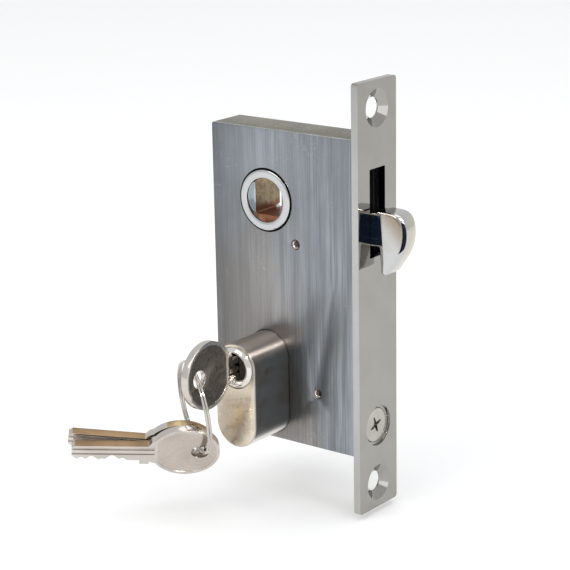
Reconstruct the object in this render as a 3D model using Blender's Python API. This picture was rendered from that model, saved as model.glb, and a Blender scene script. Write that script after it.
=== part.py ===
"""Mortise hook lock with a double oval cylinder and three keys.

Frame: origin at the centre of the faceplate's back face, +X out of the faceplate's front,
+Z up along the faceplate, broad case faces to -Y and +Y.  Sizes below are in millimetres.
"""

import math

import bmesh
import bpy
from mathutils import Matrix, Vector

MM = 0.001

# Faceplate
PLATE_HEIGHT = 149.3
PLATE_WIDTH = 22.0
PLATE_THICK = 2.6
PLATE_CORNER = 1.2
PLATE_EDGE = 0.3
SCREW_HOLES_Z = (65.2, -65.7)
SCREW_HOLE_R = 3.5
COUNTERSINK_R = 6.45
SLOT_WIDTH = 8.86
SLOT_LOW = 15.1
SLOT_HIGH = 45.3

# Case
CASE_REAR = -61.8
CASE_TOP = 55.2
CASE_BOTTOM = -55.3
CASE_HALF = 7.3
CASE_WALL = 1.8
CASE_GAP = 0.05
CASE_CORNER = 0.8
CASE_EDGE = 0.3
INNER_HALF = CASE_HALF - CASE_WALL

# Follower
AXIS_X = -38.8
FOLLOWER_Z = 30.3
RING_OUTER_R = 10.75
RING_INNER_R = 7.75
RING_FACE = 8.0
RING_BACK = 5.75
BOSS_R = 7.4
HUB_R = 9.0
SQUARE_SIDE = 11.3
FOLLOWER_HOLE_R = 11.1

# Double oval cylinder
PLUG_Z = -24.9
OVAL_R = 8.6
OVAL_LOW_Z = -45.1
OVAL_HALF_LENGTH = 26.2
OVAL_CHAMFER = 0.5
OVAL_CLEAR = 0.25
PLUG_R = 6.4
BORE_R = 6.48
COLLAR_R = 7.4
COLLAR_DEPTH = 1.2
COLLAR_FACE = 27.3
CAM_SLOT_HALF = 4.6
CAM_SLOT_LOW = -33.9
CAM_HALF = 3.5
CAM_R = 8.1
CLUTCH_R = 3.0
PLUG_INNER_END = 3.75

# Pin stacks, listed from the keyed face inwards
PIN_Y = (-21.6, -18.1, -14.6, -11.1, -7.6)
PIN_R = 1.3
CHAMBER_R = 1.4
CUT_DEPTHS = (1.2, 2.6, 0.8, 2.1, 1.5)
DRIVER_LENGTH = 5.4
SPRING_COIL_R = 0.95
SPRING_WIRE_R = 0.22
SPRING_TURNS = 7
CHAMBER_PLUG_HIGH = -50.4
CHAMBER_PLUG_LOW = -52.6

# Cylinder screw
FIXING_Z = -45.0
FIXING_HEAD_R = 6.1
FIXING_SHANK_R = 2.4
FIXING_TIP_X = -43.5

# Keys
BOW_R = 11.8
BOW_HOLE_R = 3.1
BOW_HOLE_OFFSET = 5.0
BOW_Y = -41.1
BOW_Z = -23.4
KEY_THICK = 2.6
BLADE_TOP = 3.2
BLADE_BOTTOM = -4.4
SHOULDER = 13.65
SHOULDER_DROP = -6.4
BLADE_END = 36.8
NECK_HALF = 6.0
FIELD_DEPTH = 0.35
FIELD_R = 10.6
FIELD_CHORD_ANGLE = 28.7

# Key ring
RING_R = 16.1
RING_WIRE_R = 0.42
RING_PITCH = 0.92
RING_STEPS = 60
RING_DOWN = Vector((0.2014, 0.0017, -0.9795)).normalized()
RING_ACROSS = Vector((0.815, -0.555, 0.1665)).normalized()
RING_HOLD_ANGLE = 131.3
RING_DROP = 1.1
SPARE_ANGLES = (-11.0, -28.0)
SPARE_SHIFT = 0.2
SPARE_TURNS = (1.5, 7.5)  # each spare's rest angle about SPARE_NORMAL
SPARE_DROPS = (0.0, 1.2)
SPARE_LONGER = 2.1
SPARE_NORMAL = Vector((0.5528, -0.6561, -0.5139)).normalized()
SPARE_AXIS = Vector((-0.7498, -0.6606, 0.0369)).normalized()

# Hook bolt and drive
HOOK_PIVOT = (-12.0, 12.0)
HOOK_HALF = 4.3
HOOK_EYE_R = 6.0
HOOK_PIN_R = 2.0
TAIL_R = 9.0
TAIL_TIP_R = 1.8
TAIL_ANGLE = 150.0
SLIDE_LEFT = -29.2
SLIDE_RIGHT = -23.2
SLIDE_TOP = 41.0
SLIDE_TRAVEL = 9.0
SLIDE_Y = (-5.2, -2.8)
ARM_R = 11.8
ARM_TIP_R = 1.6
ARM_ANGLE = 22.4
NOTCH_FLARE = 1.1
UPPER_PIN = (-26.3, 16.3)
LOWER_PIN = (-17.8, -35.5)
CASE_PIN_R = 1.5
CASE_PIN_HOLE_R = 1.62

METALS = {
    "faceplate_chrome": (0.80, 0.79, 0.76, 0.12),
    "case_steel": (0.52, 0.53, 0.55, 0.38),
    "polished_chrome": (0.85, 0.86, 0.87, 0.08),
    "hook_steel": (0.80, 0.80, 0.80, 0.12),
    "guide_black": (0.01, 0.01, 0.012, 0.5),
    "cylinder_nickel": (0.62, 0.59, 0.53, 0.28),
    "key_nickel": (0.68, 0.64, 0.60, 0.26),
    "brass": (0.72, 0.53, 0.25, 0.3),
    "spring_steel": (0.45, 0.45, 0.47, 0.3),
    "zinc_steel": (0.60, 0.60, 0.58, 0.35),
}


def clear_scene():
    for obj in list(bpy.data.objects):
        bpy.data.objects.remove(obj, do_unlink=True)


def material(slot, node):
    red, green, blue, rough = METALS[slot]
    made = bpy.data.materials.new("cad_" + node)
    made.use_nodes = True
    shader = made.node_tree.nodes["Principled BSDF"]
    shader.inputs["Base Color"].default_value = (red, green, blue, 1.0)
    shader.inputs["Roughness"].default_value = rough
    shader.inputs["Metallic"].default_value = 0.0 if slot == "guide_black" else 1.0
    return made


def node(name, slot, points, faces, origin=(0, 0, 0), smooth=False):
    """One mesh object.  Points are in the lock's frame, in millimetres."""
    origin = Vector(origin)
    mesh = bpy.data.meshes.new(name)
    mesh.from_pydata([(Vector(p) - origin) * MM for p in points], [], faces)
    shell = bmesh.new()
    shell.from_mesh(mesh)
    bmesh.ops.recalc_face_normals(shell, faces=shell.faces)
    if shell.calc_volume(signed=True) < 0:
        bmesh.ops.reverse_faces(shell, faces=shell.faces)
    shell.to_mesh(mesh)
    shell.free()
    obj = bpy.data.objects.new(name, mesh)
    bpy.context.scene.collection.objects.link(obj)
    obj.location = origin * MM
    if slot:
        mesh.materials.append(material(slot, name))
    else:
        obj.hide_render = True
        obj.display_type = "WIRE"
    if smooth:
        for face in mesh.polygons:
            face.use_smooth = True
        mesh.set_sharp_from_angle(angle=math.radians(30))
    return obj


def boolean(target, other, operation):
    modifier = target.modifiers.new(other.name, "BOOLEAN")
    modifier.operation = operation
    modifier.solver = "EXACT"
    modifier.object = other


def cut(target, *cutters):
    for cutter in cutters:
        boolean(target, cutter, "DIFFERENCE")


def lifted(a, b, height, axis):
    """Point with in-plane coordinates a, b and a height along the axis, in x, y, z order."""
    return {"X": (height, a, b), "Y": (a, height, b), "Z": (a, b, height)}[axis]


def outward(outline):
    """Unit normals at each corner of a closed outline, pointing out of it."""
    count = len(outline)
    area = sum(
        outline[i - 1][0] * outline[i][1] - outline[i][0] * outline[i - 1][1]
        for i in range(count)
    )
    turn = 1.0 if area > 0 else -1.0
    normals = []
    for i in range(count):
        before = Vector(outline[i]) - Vector(outline[i - 1])
        after = Vector(outline[(i + 1) % count]) - Vector(outline[i])
        total = before.normalized() + after.normalized()
        total = total.normalized() if total.length > 1e-6 else after.normalized()
        stretch = 1.0 / max(0.5, total.dot(after.normalized()))
        normals.append(Vector((total.y, -total.x)) * turn * stretch)
    return normals


def slab(name, slot, outline, axis, low, high, edge=0.0, steps=1, edges=None, **more):
    """A closed outline carried along an axis, its two rims rounded by edge or by one radius a corner."""
    count = len(outline)
    radii = edges or [edge] * count
    if max(radii) <= 0:
        rings = [(0.0, 0.0)]
    else:
        rings = [
            (
                1 - math.sin(math.radians(90 * k / steps)),
                1 - math.cos(math.radians(90 * k / steps)),
            )
            for k in range(steps + 1)
        ]
    normals = outward(outline)
    layers = []
    for side, ordered in ((low, rings), (high, rings[::-1])):
        inward = 1 if side == low else -1
        for inset, depth in ordered:
            layers.append(
                [
                    lifted(
                        p[0] - n.x * r * inset,
                        p[1] - n.y * r * inset,
                        side + inward * r * depth,
                        axis,
                    )
                    for p, n, r in zip(outline, normals, radii)
                ]
            )
    points = [p for layer in layers for p in layer]
    faces = [list(range(count))[::-1]]
    for level in range(len(layers) - 1):
        base = level * count
        faces += [
            [base + i, base + (i + 1) % count, base + count + (i + 1) % count, base + count + i]
            for i in range(count)
        ]
    faces.append([len(points) - count + i for i in range(count)])
    return node(name, slot, points, faces, **more)


def box(name, slot, x, y, z, **more):
    outline = [(x[0], z[0]), (x[1], z[0]), (x[1], z[1]), (x[0], z[1])]
    return slab(name, slot, outline, "Y", y[0], y[1], **more)


def turned(name, slot, profile, axis, centre, segments=32, origin=None, phase=0.0):
    """A closed body of revolution.  Profile runs (radius, height); a radius of 0 closes it."""
    rings = []
    points = []
    for radius, height in profile:
        first = len(points)
        if radius == 0:
            points.append(lifted(centre[0], centre[1], height, axis))
            rings.append([first] * segments)
            continue
        for k in range(segments):
            angle = 2 * math.pi * (k + phase) / segments
            points.append(
                lifted(
                    centre[0] + radius * math.cos(angle),
                    centre[1] + radius * math.sin(angle),
                    height,
                    axis,
                )
            )
        rings.append(list(range(first, first + segments)))
    closed = profile[0][0] > 0
    pairs = list(zip(rings, rings[1:] + rings[:1] if closed else rings[1:]))
    faces = []
    for one, two in pairs:
        for k in range(segments):
            face = [one[k], one[(k + 1) % segments], two[(k + 1) % segments], two[k]]
            face = list(dict.fromkeys(face))
            if len(face) > 2:
                faces.append(face)
    return node(name, slot, points, faces, origin=origin or (0, 0, 0), smooth=bool(slot))


def rod(name, slot, radius, axis, centre, low, high, segments=24, origin=None, chamfer=0.0):
    if chamfer:
        profile = [
            (0, low),
            (radius - chamfer, low),
            (radius, low + chamfer),
            (radius, high - chamfer),
            (radius - chamfer, high),
            (0, high),
        ]
    else:
        profile = [(0, low), (radius, low), (radius, high), (0, high)]
    return turned(name, slot, profile, axis, centre, segments, origin)


def arc(centre, radius, start, end, steps):
    return [
        (
            centre[0] + radius * math.cos(math.radians(start + (end - start) * k / steps)),
            centre[1] + radius * math.sin(math.radians(start + (end - start) * k / steps)),
        )
        for k in range(steps + 1)
    ]


def rounded_rectangle(a, b, radius, steps=4):
    outline = []
    corners = (
        (a[1] - radius, b[0] + radius, -90),
        (a[1] - radius, b[1] - radius, 0),
        (a[0] + radius, b[1] - radius, 90),
        (a[0] + radius, b[0] + radius, 180),
    )
    for x, y, start in corners:
        outline += arc((x, y), radius, start, start + 90, steps)
    return outline


def oval(radius, steps=20):
    """Upright oval in XZ: half circles about the plug axis and the lower centre."""
    top = arc((AXIS_X, PLUG_Z), radius, 0, 180, steps)
    bottom = arc((AXIS_X, OVAL_LOW_Z), radius, 180, 360, steps)
    return top + bottom


def coil(name, slot, centre, low, high, **more):
    """Open compression spring along Z."""
    per_turn = 10
    sides = 5
    count = SPRING_TURNS * per_turn
    points = []
    for k in range(count + 1):
        angle = 2 * math.pi * k / per_turn
        height = low + (high - low) * k / count
        for s in range(sides):
            swing = 2 * math.pi * s / sides
            radius = SPRING_COIL_R + SPRING_WIRE_R * math.cos(swing)
            points.append(
                (
                    centre[0] + radius * math.cos(angle),
                    centre[1] + radius * math.sin(angle),
                    height + SPRING_WIRE_R * math.sin(swing),
                )
            )
    faces = [list(range(sides))[::-1]]
    for k in range(count):
        for s in range(sides):
            a = k * sides + s
            b = k * sides + (s + 1) % sides
            faces.append([a, b, b + sides, a + sides])
    faces.append([count * sides + s for s in range(sides)])
    return node(name, slot, points, faces, smooth=True, **more)


def build_faceplate():
    outline = rounded_rectangle(
        (-PLATE_WIDTH / 2, PLATE_WIDTH / 2),
        (-PLATE_HEIGHT / 2, PLATE_HEIGHT / 2),
        PLATE_CORNER,
        3,
    )
    plate = slab(
        "faceplate", "faceplate_chrome", outline, "X", 0, PLATE_THICK, edge=PLATE_EDGE, steps=2
    )
    for index, z in enumerate(SCREW_HOLES_Z):
        profile = [
            (0, -1),
            (SCREW_HOLE_R, -1),
            (SCREW_HOLE_R, 0.5),
            (COUNTERSINK_R, PLATE_THICK - 0.05),
            (COUNTERSINK_R + 0.1, PLATE_THICK + 1),
            (0, PLATE_THICK + 1),
        ]
        cut(plate, turned(f"cut_countersink_{index}", None, profile, "X", (0, z), 40))
    seat = [
        (0, -1),
        (2.8, -1),
        (2.8, -0.25),
        (FIXING_HEAD_R + 0.4, 1.45),
        (FIXING_HEAD_R + 0.75, 1.5),
        (FIXING_HEAD_R + 0.95, PLATE_THICK),
        (FIXING_HEAD_R + 0.95, PLATE_THICK + 1),
        (0, PLATE_THICK + 1),
    ]
    cut(plate, turned("cut_screw_seat", None, seat, "X", (0, FIXING_Z), 40))
    slot = rounded_rectangle(
        (-SLOT_WIDTH / 2, SLOT_WIDTH / 2), (SLOT_LOW, SLOT_HIGH), 0.4, 2
    )
    cut(plate, slab("cut_slot", None, slot, "X", -1, PLATE_THICK + 1))


def case_openings(prefix, low, high):
    """Cutters for what passes through a broad case plate."""
    cutters = [
        rod(prefix + "follower", None, FOLLOWER_HOLE_R, "Y", (AXIS_X, FOLLOWER_Z), low, high, 48),
        slab(prefix + "oval", None, oval(OVAL_R + OVAL_CLEAR), "Y", -CASE_HALF - 1, high),
    ]
    for index, centre in enumerate((UPPER_PIN, LOWER_PIN)):
        cutters.append(
            rod(f"{prefix}pin_{index}", None, CASE_PIN_HOLE_R, "Y", centre, low, high, 24)
        )
    return cutters


def build_case():
    outline = rounded_rectangle(
        (CASE_REAR, -CASE_GAP), (CASE_BOTTOM, CASE_TOP), CASE_CORNER, 2
    )
    tray = slab(
        "case_tray", "case_steel", outline, "Y", -INNER_HALF, CASE_HALF, edge=CASE_EDGE
    )
    cut(
        tray,
        box(
            "cut_interior",
            None,
            (CASE_REAR + CASE_WALL, -CASE_GAP - CASE_WALL),
            (-CASE_HALF, INNER_HALF),
            (CASE_BOTTOM + CASE_WALL, CASE_TOP - CASE_WALL),
        ),
        box("cut_case_slot", None, (-3, 1), (-4.7, 4.7), (SLOT_LOW - 0.6, SLOT_HIGH + 0.6)),
        rod("cut_case_screw", None, 2.75, "X", (0, FIXING_Z), -3, 1),
        *case_openings("cut_tray_", INNER_HALF - 1, CASE_HALF + 1),
    )
    cover = slab(
        "case_cover",
        "case_steel",
        outline,
        "Y",
        -CASE_HALF,
        -INNER_HALF - CASE_GAP,
        edge=CASE_EDGE,
    )
    cut(cover, *case_openings("cut_cover_", -CASE_HALF - 1, -INNER_HALF + 1))
    for name, centre in (("case_pin_upper", UPPER_PIN), ("case_pin_lower", LOWER_PIN)):
        rod(name, "zinc_steel", CASE_PIN_R, "Y", centre, -7.1, 7.1, 20, chamfer=0.3)
    rod(
        "hook_pivot_pin",
        "zinc_steel",
        HOOK_PIN_R,
        "Y",
        HOOK_PIVOT,
        -INNER_HALF + 0.03,
        INNER_HALF - 0.05,
        24,
        chamfer=0.2,
    )
    frame = box("hook_guide", "guide_black", (-5.6, -1.95), (-5.35, 5.35), (8.6, 48.2))
    cut(frame, box("cut_guide", None, (-7, 0), (-4.5, 4.5), (10.2, 46.4)))
    leaf = [
        (-33.5, -10.0),
        (-32.9, -10.3),
        (-29.3 - 0.1, 4.6),
        (-29.3 - 0.1, 6.4),
        (-35.4, 15.6),
        (-36.0, 15.2),
        (-30.0, 6.1),
        (-30.0, 4.9),
    ]
    slab("slide_spring", "spring_steel", leaf, "Y", SLIDE_Y[0] + 0.1, 5.3)


def build_hook():
    px, pz = HOOK_PIVOT
    centre = math.radians(TAIL_ANGLE)
    tip = (px + TAIL_R * math.cos(centre), pz + TAIL_R * math.sin(centre))
    # Each entry: a point of the outline and the rounding of its rim.
    head = [
        ((6.9, 11.0), 0.4),
        ((7.7, 10.2), 0.5),
        ((8.7, 10.3), 0.8),
        ((10.2, 11.9), 1.5),
        ((12.6, 14.9), 2.0),
        ((14.7, 18.0), 2.2),
        ((16.0, 21.0), 2.2),
        ((16.5, 24.0), 2.2),
        ((16.3, 27.0), 2.2),
        ((15.4, 29.3), 2.1),
        ((13.9, 30.8), 1.8),
        ((11.5, 31.5), 1.3),
        ((8.0, 31.6), 0.9),
        ((5.7, 31.4), 0.5),
        ((5.3, 30.9), 0.4),
    ]
    shank = [
        ((0.5, 30.8), 0.35),
        ((-2.5, 29.0), 0.35),
        ((-5.0, 25.0), 0.35),
        ((-7.0, 20.0), 0.35),
    ]
    eye = [(p, 0.35) for p in arc(HOOK_PIVOT, HOOK_EYE_R, 100, 128, 3)]
    across = Vector((-math.sin(centre), math.cos(centre)))
    root = Vector(HOOK_PIVOT) + Vector((math.cos(centre), math.sin(centre))) * 4.0
    degrees = math.degrees(centre)
    tail = [(tuple(root - across * TAIL_TIP_R), 0.2)]
    tail += [(p, 0.2) for p in arc(tip, TAIL_TIP_R, degrees - 90, degrees + 90, 8)]
    tail = tail[1:]
    under = [(p, 0.35) for p in arc(HOOK_PIVOT, HOOK_EYE_R, 172, 352, 14)]
    throat = [
        ((-3.5, 15.6), 0.35),
        ((-0.5, 18.6), 0.35),
        ((3.0, 19.5), 0.35),
        ((6.0, 19.7), 0.4),
        ((6.35, 18.9), 0.4),
    ]
    entries = head + shank + eye + tail + under + throat
    hook = slab(
        "hook_bolt",
        "hook_steel",
        [e[0] for e in entries],
        "Y",
        -HOOK_HALF,
        HOOK_HALF,
        edges=[e[1] for e in entries],
        steps=4,
        origin=(px, 0, pz),
        smooth=True,
    )
    cut(hook, rod("cut_hook_eye", None, HOOK_PIN_R + 0.08, "Y", HOOK_PIVOT, -6, 6, 24))


def build_slide():
    tail_z = HOOK_PIVOT[1] + TAIL_R * math.sin(math.radians(TAIL_ANGLE))
    gap = TAIL_TIP_R + 0.22
    ear_x = -20.4
    arm_rise = ARM_R * math.sin(math.radians(ARM_ANGLE))
    follower_z = FOLLOWER_Z + arm_rise
    cam_z = PLUG_Z + arm_rise
    notch_x = AXIS_X + ARM_R + ARM_TIP_R + 0.25
    notch = ARM_TIP_R + 0.22
    outline = [(SLIDE_LEFT, SLIDE_TOP)]
    for middle in (follower_z, cam_z):
        outline += [
            (SLIDE_LEFT, middle + notch + NOTCH_FLARE),
            (SLIDE_LEFT + 1.6, middle + notch),
            (notch_x, middle + notch),
            (notch_x, middle - notch),
            (SLIDE_LEFT + 1.6, middle - notch),
            (SLIDE_LEFT, middle - notch - NOTCH_FLARE),
        ]
    outline += [
        (SLIDE_LEFT, -28.0),
        (-24.0, -33.5),
        (-21.0, -39.2),
        (-14.6, -39.2),
        (-14.6, -22.2),
        (-19.6, -19.0),
        (SLIDE_RIGHT, -14.0),
        (SLIDE_RIGHT, tail_z - gap - 2.4),
        (ear_x, tail_z - gap - 2.4),
        (ear_x, tail_z - gap),
        (SLIDE_RIGHT, tail_z - gap),
        (SLIDE_RIGHT, tail_z + gap),
        (ear_x, tail_z + gap),
        (ear_x, tail_z + gap + 2.0),
        (SLIDE_RIGHT, tail_z + gap + 2.0),
        (SLIDE_RIGHT, SLIDE_TOP),
    ]
    slide = slab(
        "drive_slide", "zinc_steel", outline, "Y", SLIDE_Y[0], SLIDE_Y[1], edge=0.15
    )
    for index, (x, z) in enumerate((UPPER_PIN, LOWER_PIN)):
        slot = arc((x, z - 0.25), CASE_PIN_R + 0.12, 180, 360, 8)
        slot += arc((x, z + SLIDE_TRAVEL + 0.25), CASE_PIN_R + 0.12, 0, 180, 8)
        cut(slide, slab(f"cut_guide_slot_{index}", None, slot, "Y", -7, -1))


def build_follower():
    centre = (AXIS_X, FOLLOWER_Z)
    origin = (AXIS_X, 0, FOLLOWER_Z)
    for name, side in (("follower_ring_near", -1), ("follower_ring_far", 1)):
        profile = [
            (RING_INNER_R + 0.25, side * RING_FACE),
            (RING_OUTER_R - 0.6, side * RING_FACE),
            (RING_OUTER_R - 0.2, side * (RING_FACE - 0.15)),
            (RING_OUTER_R, side * (RING_FACE - 0.55)),
            (RING_OUTER_R, side * RING_BACK),
            (RING_INNER_R, side * RING_BACK),
            (RING_INNER_R, side * (RING_FACE - 0.3)),
        ]
        turned(name, "polished_chrome", profile, "Y", centre, 56, origin)
    hub = rod("follower_hub", "polished_chrome", HUB_R, "Y", centre, -5.7, 5.7, 40, origin)
    start = math.radians(ARM_ANGLE)
    tip = (centre[0] + ARM_R * math.cos(start), centre[1] + ARM_R * math.sin(start))
    arm = arc(tip, ARM_TIP_R, ARM_ANGLE - 90, ARM_ANGLE + 90, 8)
    back = Vector((math.cos(start), math.sin(start))) * 6.5
    arm = [(p[0], p[1]) for p in arm]
    arm.append((arm[-1][0] - back.x, arm[-1][1] - back.y))
    arm.append((arm[0][0] - back.x, arm[0][1] - back.y))
    boolean(hub, slab("join_arm", None, arm, "Y", -5.3, 5.3), "UNION")
    # The far side of the hub fills its ring, so the square runs through the whole case.
    boolean(hub, rod("join_boss", None, BOSS_R, "Y", centre, 5.0, 7.9, 40), "UNION")
    half = SQUARE_SIDE / 2
    cut(
        hub,
        box(
            "cut_square",
            None,
            (AXIS_X - half, AXIS_X + half),
            (-9, 9),
            (FOLLOWER_Z - half, FOLLOWER_Z + half),
        ),
    )


def keyway_cutter(name, low, high):
    """Keyway outline: a straight slot with a step on each side, clear of the blade."""
    top = BOW_Z + BLADE_TOP + 0.25
    bottom = BOW_Z + BLADE_BOTTOM - 0.25
    wide = KEY_THICK / 2 + 0.15
    outline = [
        (AXIS_X - wide, bottom),
        (AXIS_X + wide, bottom),
        (AXIS_X + wide, top),
        (AXIS_X - wide, top),
    ]
    return slab(name, None, outline, "Y", low, high)


def plug_profile(side):
    """Collar, barrel, neck for the clip and inner end, from the outer face inwards."""
    return [
        (0, side * (COLLAR_FACE - 1.5)),
        (3.9, side * (COLLAR_FACE - 1.5)),
        (5.6, side * COLLAR_FACE),
        (6.1, side * COLLAR_FACE),
        (COLLAR_R, side * (OVAL_HALF_LENGTH - 0.2)),
        (COLLAR_R, side * (OVAL_HALF_LENGTH - COLLAR_DEPTH + 0.1)),
        (PLUG_R, side * (OVAL_HALF_LENGTH - COLLAR_DEPTH + 0.1)),
        (PLUG_R, side * 4.7),
        (5.5, side * 4.6),
        (5.5, side * PLUG_INNER_END),
        (0, side * PLUG_INNER_END),
    ]


def build_cylinder():
    body = slab(
        "cylinder_body",
        "cylinder_nickel",
        oval(OVAL_R),
        "Y",
        -OVAL_HALF_LENGTH,
        OVAL_HALF_LENGTH,
        edge=OVAL_CHAMFER,
        steps=2,
    )
    for face in body.data.polygons:
        face.use_smooth = True
    body.data.set_sharp_from_angle(angle=math.radians(35))
    centre = (AXIS_X, PLUG_Z)
    reach = OVAL_HALF_LENGTH
    bore = [
        (0, -reach - 1),
        (COLLAR_R + 0.1, -reach - 1),
        (COLLAR_R + 0.1, -reach + COLLAR_DEPTH),
        (BORE_R, -reach + COLLAR_DEPTH),
        (BORE_R, reach - COLLAR_DEPTH),
        (COLLAR_R + 0.1, reach - COLLAR_DEPTH),
        (COLLAR_R + 0.1, reach + 1),
        (0, reach + 1),
    ]
    cut(
        body,
        turned("cut_bore", None, bore, "Y", centre, 40),
        box(
            "cut_cam_slot",
            None,
            (AXIS_X - 12, AXIS_X + 12),
            (-CAM_SLOT_HALF, CAM_SLOT_HALF),
            (CAM_SLOT_LOW, PLUG_Z + 12),
        ),
        rod("cut_thread", None, FIXING_SHANK_R + 0.1, "X", (0, FIXING_Z), -60, 0, 20),
    )
    for index, y in enumerate(PIN_Y):
        cut(
            body,
            rod(f"cut_chamber_{index}", None, CHAMBER_R, "Z", (AXIS_X, y), -56, PLUG_Z - 4, 16),
        )
    origin = (AXIS_X, 0, PLUG_Z)
    plugs = {}
    for name, side in (("plug_near", -1), ("plug_far", 1)):
        plug = turned(name, "cylinder_nickel", plug_profile(side), "Y", centre, 40, origin)
        ends = sorted((side * 3.0, side * 30.0))
        cut(plug, keyway_cutter(f"cut_keyway_{name}", *ends))
        plugs[name] = plug
    for index, y in enumerate(PIN_Y):
        cut(
            plugs["plug_near"],
            rod(
                f"cut_plug_chamber_{index}",
                None,
                CHAMBER_R,
                "Z",
                (AXIS_X, y),
                PLUG_Z - 8,
                BOW_Z + BLADE_BOTTOM + 1.5,
                16,
            ),
        )
    blade_low = BOW_Z + BLADE_BOTTOM
    shear = PLUG_Z - PLUG_R
    for index, (y, depth) in enumerate(zip(PIN_Y, CUT_DEPTHS)):
        tip = blade_low + depth - 0.08
        pin = [
            (0, shear + 0.12),
            (PIN_R - 0.5, shear + 0.12),
            (PIN_R, shear + 0.35),
            (PIN_R, tip - 1.1),
            (0.3, tip),
            (0, tip),
        ]
        turned(f"key_pin_{index + 1}", "brass", pin, "Z", (AXIS_X, y), 14, origin)
        driver = [
            (0, shear - 0.2 - DRIVER_LENGTH),
            (PIN_R, shear - 0.2 - DRIVER_LENGTH),
            (PIN_R, shear - 0.45),
            (PIN_R - 0.5, shear - 0.2),
            (0, shear - 0.2),
        ]
        turned(f"driver_pin_{index + 1}", "zinc_steel", driver, "Z", (AXIS_X, y), 14)
        coil(
            f"pin_spring_{index + 1}",
            "spring_steel",
            (AXIS_X, y),
            CHAMBER_PLUG_HIGH + 0.3,
            shear - 0.5 - DRIVER_LENGTH,
        )
        rod(
            f"chamber_plug_{index + 1}",
            "brass",
            CHAMBER_R - 0.06,
            "Z",
            (AXIS_X, y),
            CHAMBER_PLUG_LOW,
            CHAMBER_PLUG_HIGH,
            14,
        )
    for name, side in (("plug_clip_near", -1), ("plug_clip_far", 1)):
        clip = arc(centre, 7.3, 70, 380, 22) + arc(centre, 5.6, 380, 70, 22)
        low, high = sorted((side * 3.85, side * 4.5))
        slab(name, "spring_steel", clip, "Y", low, high)
    cam = rod("cam", "zinc_steel", CAM_R, "Y", centre, -CAM_HALF, CAM_HALF, 36, origin)
    start = math.radians(ARM_ANGLE)
    tip = (centre[0] + ARM_R * math.cos(start), centre[1] + ARM_R * math.sin(start))
    lobe = arc(tip, ARM_TIP_R, ARM_ANGLE - 90, ARM_ANGLE + 90, 8)
    back = Vector((math.cos(start), math.sin(start))) * 7.0
    lobe.append((lobe[-1][0] - back.x, lobe[-1][1] - back.y))
    lobe.append((lobe[0][0] - back.x, lobe[0][1] - back.y))
    boolean(cam, slab("join_lobe", None, lobe, "Y", -CAM_HALF, CAM_HALF), "UNION")
    cut(cam, rod("cut_cam_bore", None, CLUTCH_R + 0.08, "Y", centre, -6, 6, 24))
    rod("clutch", "brass", CLUTCH_R, "Y", centre, -CAM_HALF, CAM_HALF, 24, origin, chamfer=0.2)

    head = [
        (0, 1.55),
        (FIXING_HEAD_R - 0.5, 1.75),
        (FIXING_HEAD_R, 1.5),
        (FIXING_SHANK_R, -0.1),
        (FIXING_SHANK_R, FIXING_TIP_X + 0.6),
        (FIXING_SHANK_R - 0.6, FIXING_TIP_X),
        (0, FIXING_TIP_X),
    ]
    screw = turned("cylinder_screw", "cylinder_nickel", head, "X", (0, FIXING_Z), 32)
    for index, turn in enumerate((20, 110)):
        along = Vector((math.cos(math.radians(turn)), math.sin(math.radians(turn))))
        side = Vector((-along.y, along.x))
        cross = [
            tuple(Vector((0, FIXING_Z)) + along * a + side * b)
            for a, b in ((-2.9, -0.45), (2.9, -0.45), (2.9, 0.45), (-2.9, 0.45))
        ]
        cut(screw, slab(f"cut_cross_{index}", None, cross, "X", 0.1, 3))


def key_outline(cuts, end):
    """Outline of a key along +a from the bow centre, b towards its straight edge."""
    neck = math.degrees(math.asin(NECK_HALF / BOW_R))
    longer = end - BLADE_END
    outline = arc((0, 0), BOW_R, neck, 360 - neck, 44)
    outline += [
        (SHOULDER - 1.2, -NECK_HALF + 0.8),
        (SHOULDER - 1.2, SHOULDER_DROP),
        (SHOULDER + longer, SHOULDER_DROP),
        (SHOULDER + longer, BLADE_BOTTOM),
    ]
    for place, depth in cuts:
        along = place + longer
        outline += [
            (along - 0.4 - depth, BLADE_BOTTOM),
            (along - 0.4, BLADE_BOTTOM + depth),
            (along + 0.4, BLADE_BOTTOM + depth),
            (along + 0.4 + depth, BLADE_BOTTOM),
        ]
    outline += [
        (end - 2.2, BLADE_BOTTOM),
        (end, BLADE_BOTTOM + 2.2),
        (end, BLADE_TOP - 1.2),
        (end - 1.2, BLADE_TOP),
        (SHOULDER - 1.0, BLADE_TOP),
        (SHOULDER - 1.6, BLADE_TOP + 0.9),
        (SHOULDER - 2.2, NECK_HALF - 0.8),
    ]
    return tidy_cuts(outline)


def tidy_cuts(outline):
    """Joins neighbouring cuts that overlap into one valley line."""
    kept = []
    for point in outline:
        while kept and point[1] == BLADE_BOTTOM == kept[-1][1] and point[0] <= kept[-1][0]:
            last = kept.pop()
            before = kept[-1]
            middle = (last[0] + point[0]) / 2
            reach = last[0] - before[0]
            share = (middle - before[0]) / reach
            point = (middle, before[1] + (last[1] - before[1]) * share)
        kept.append(point)
    return kept


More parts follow.
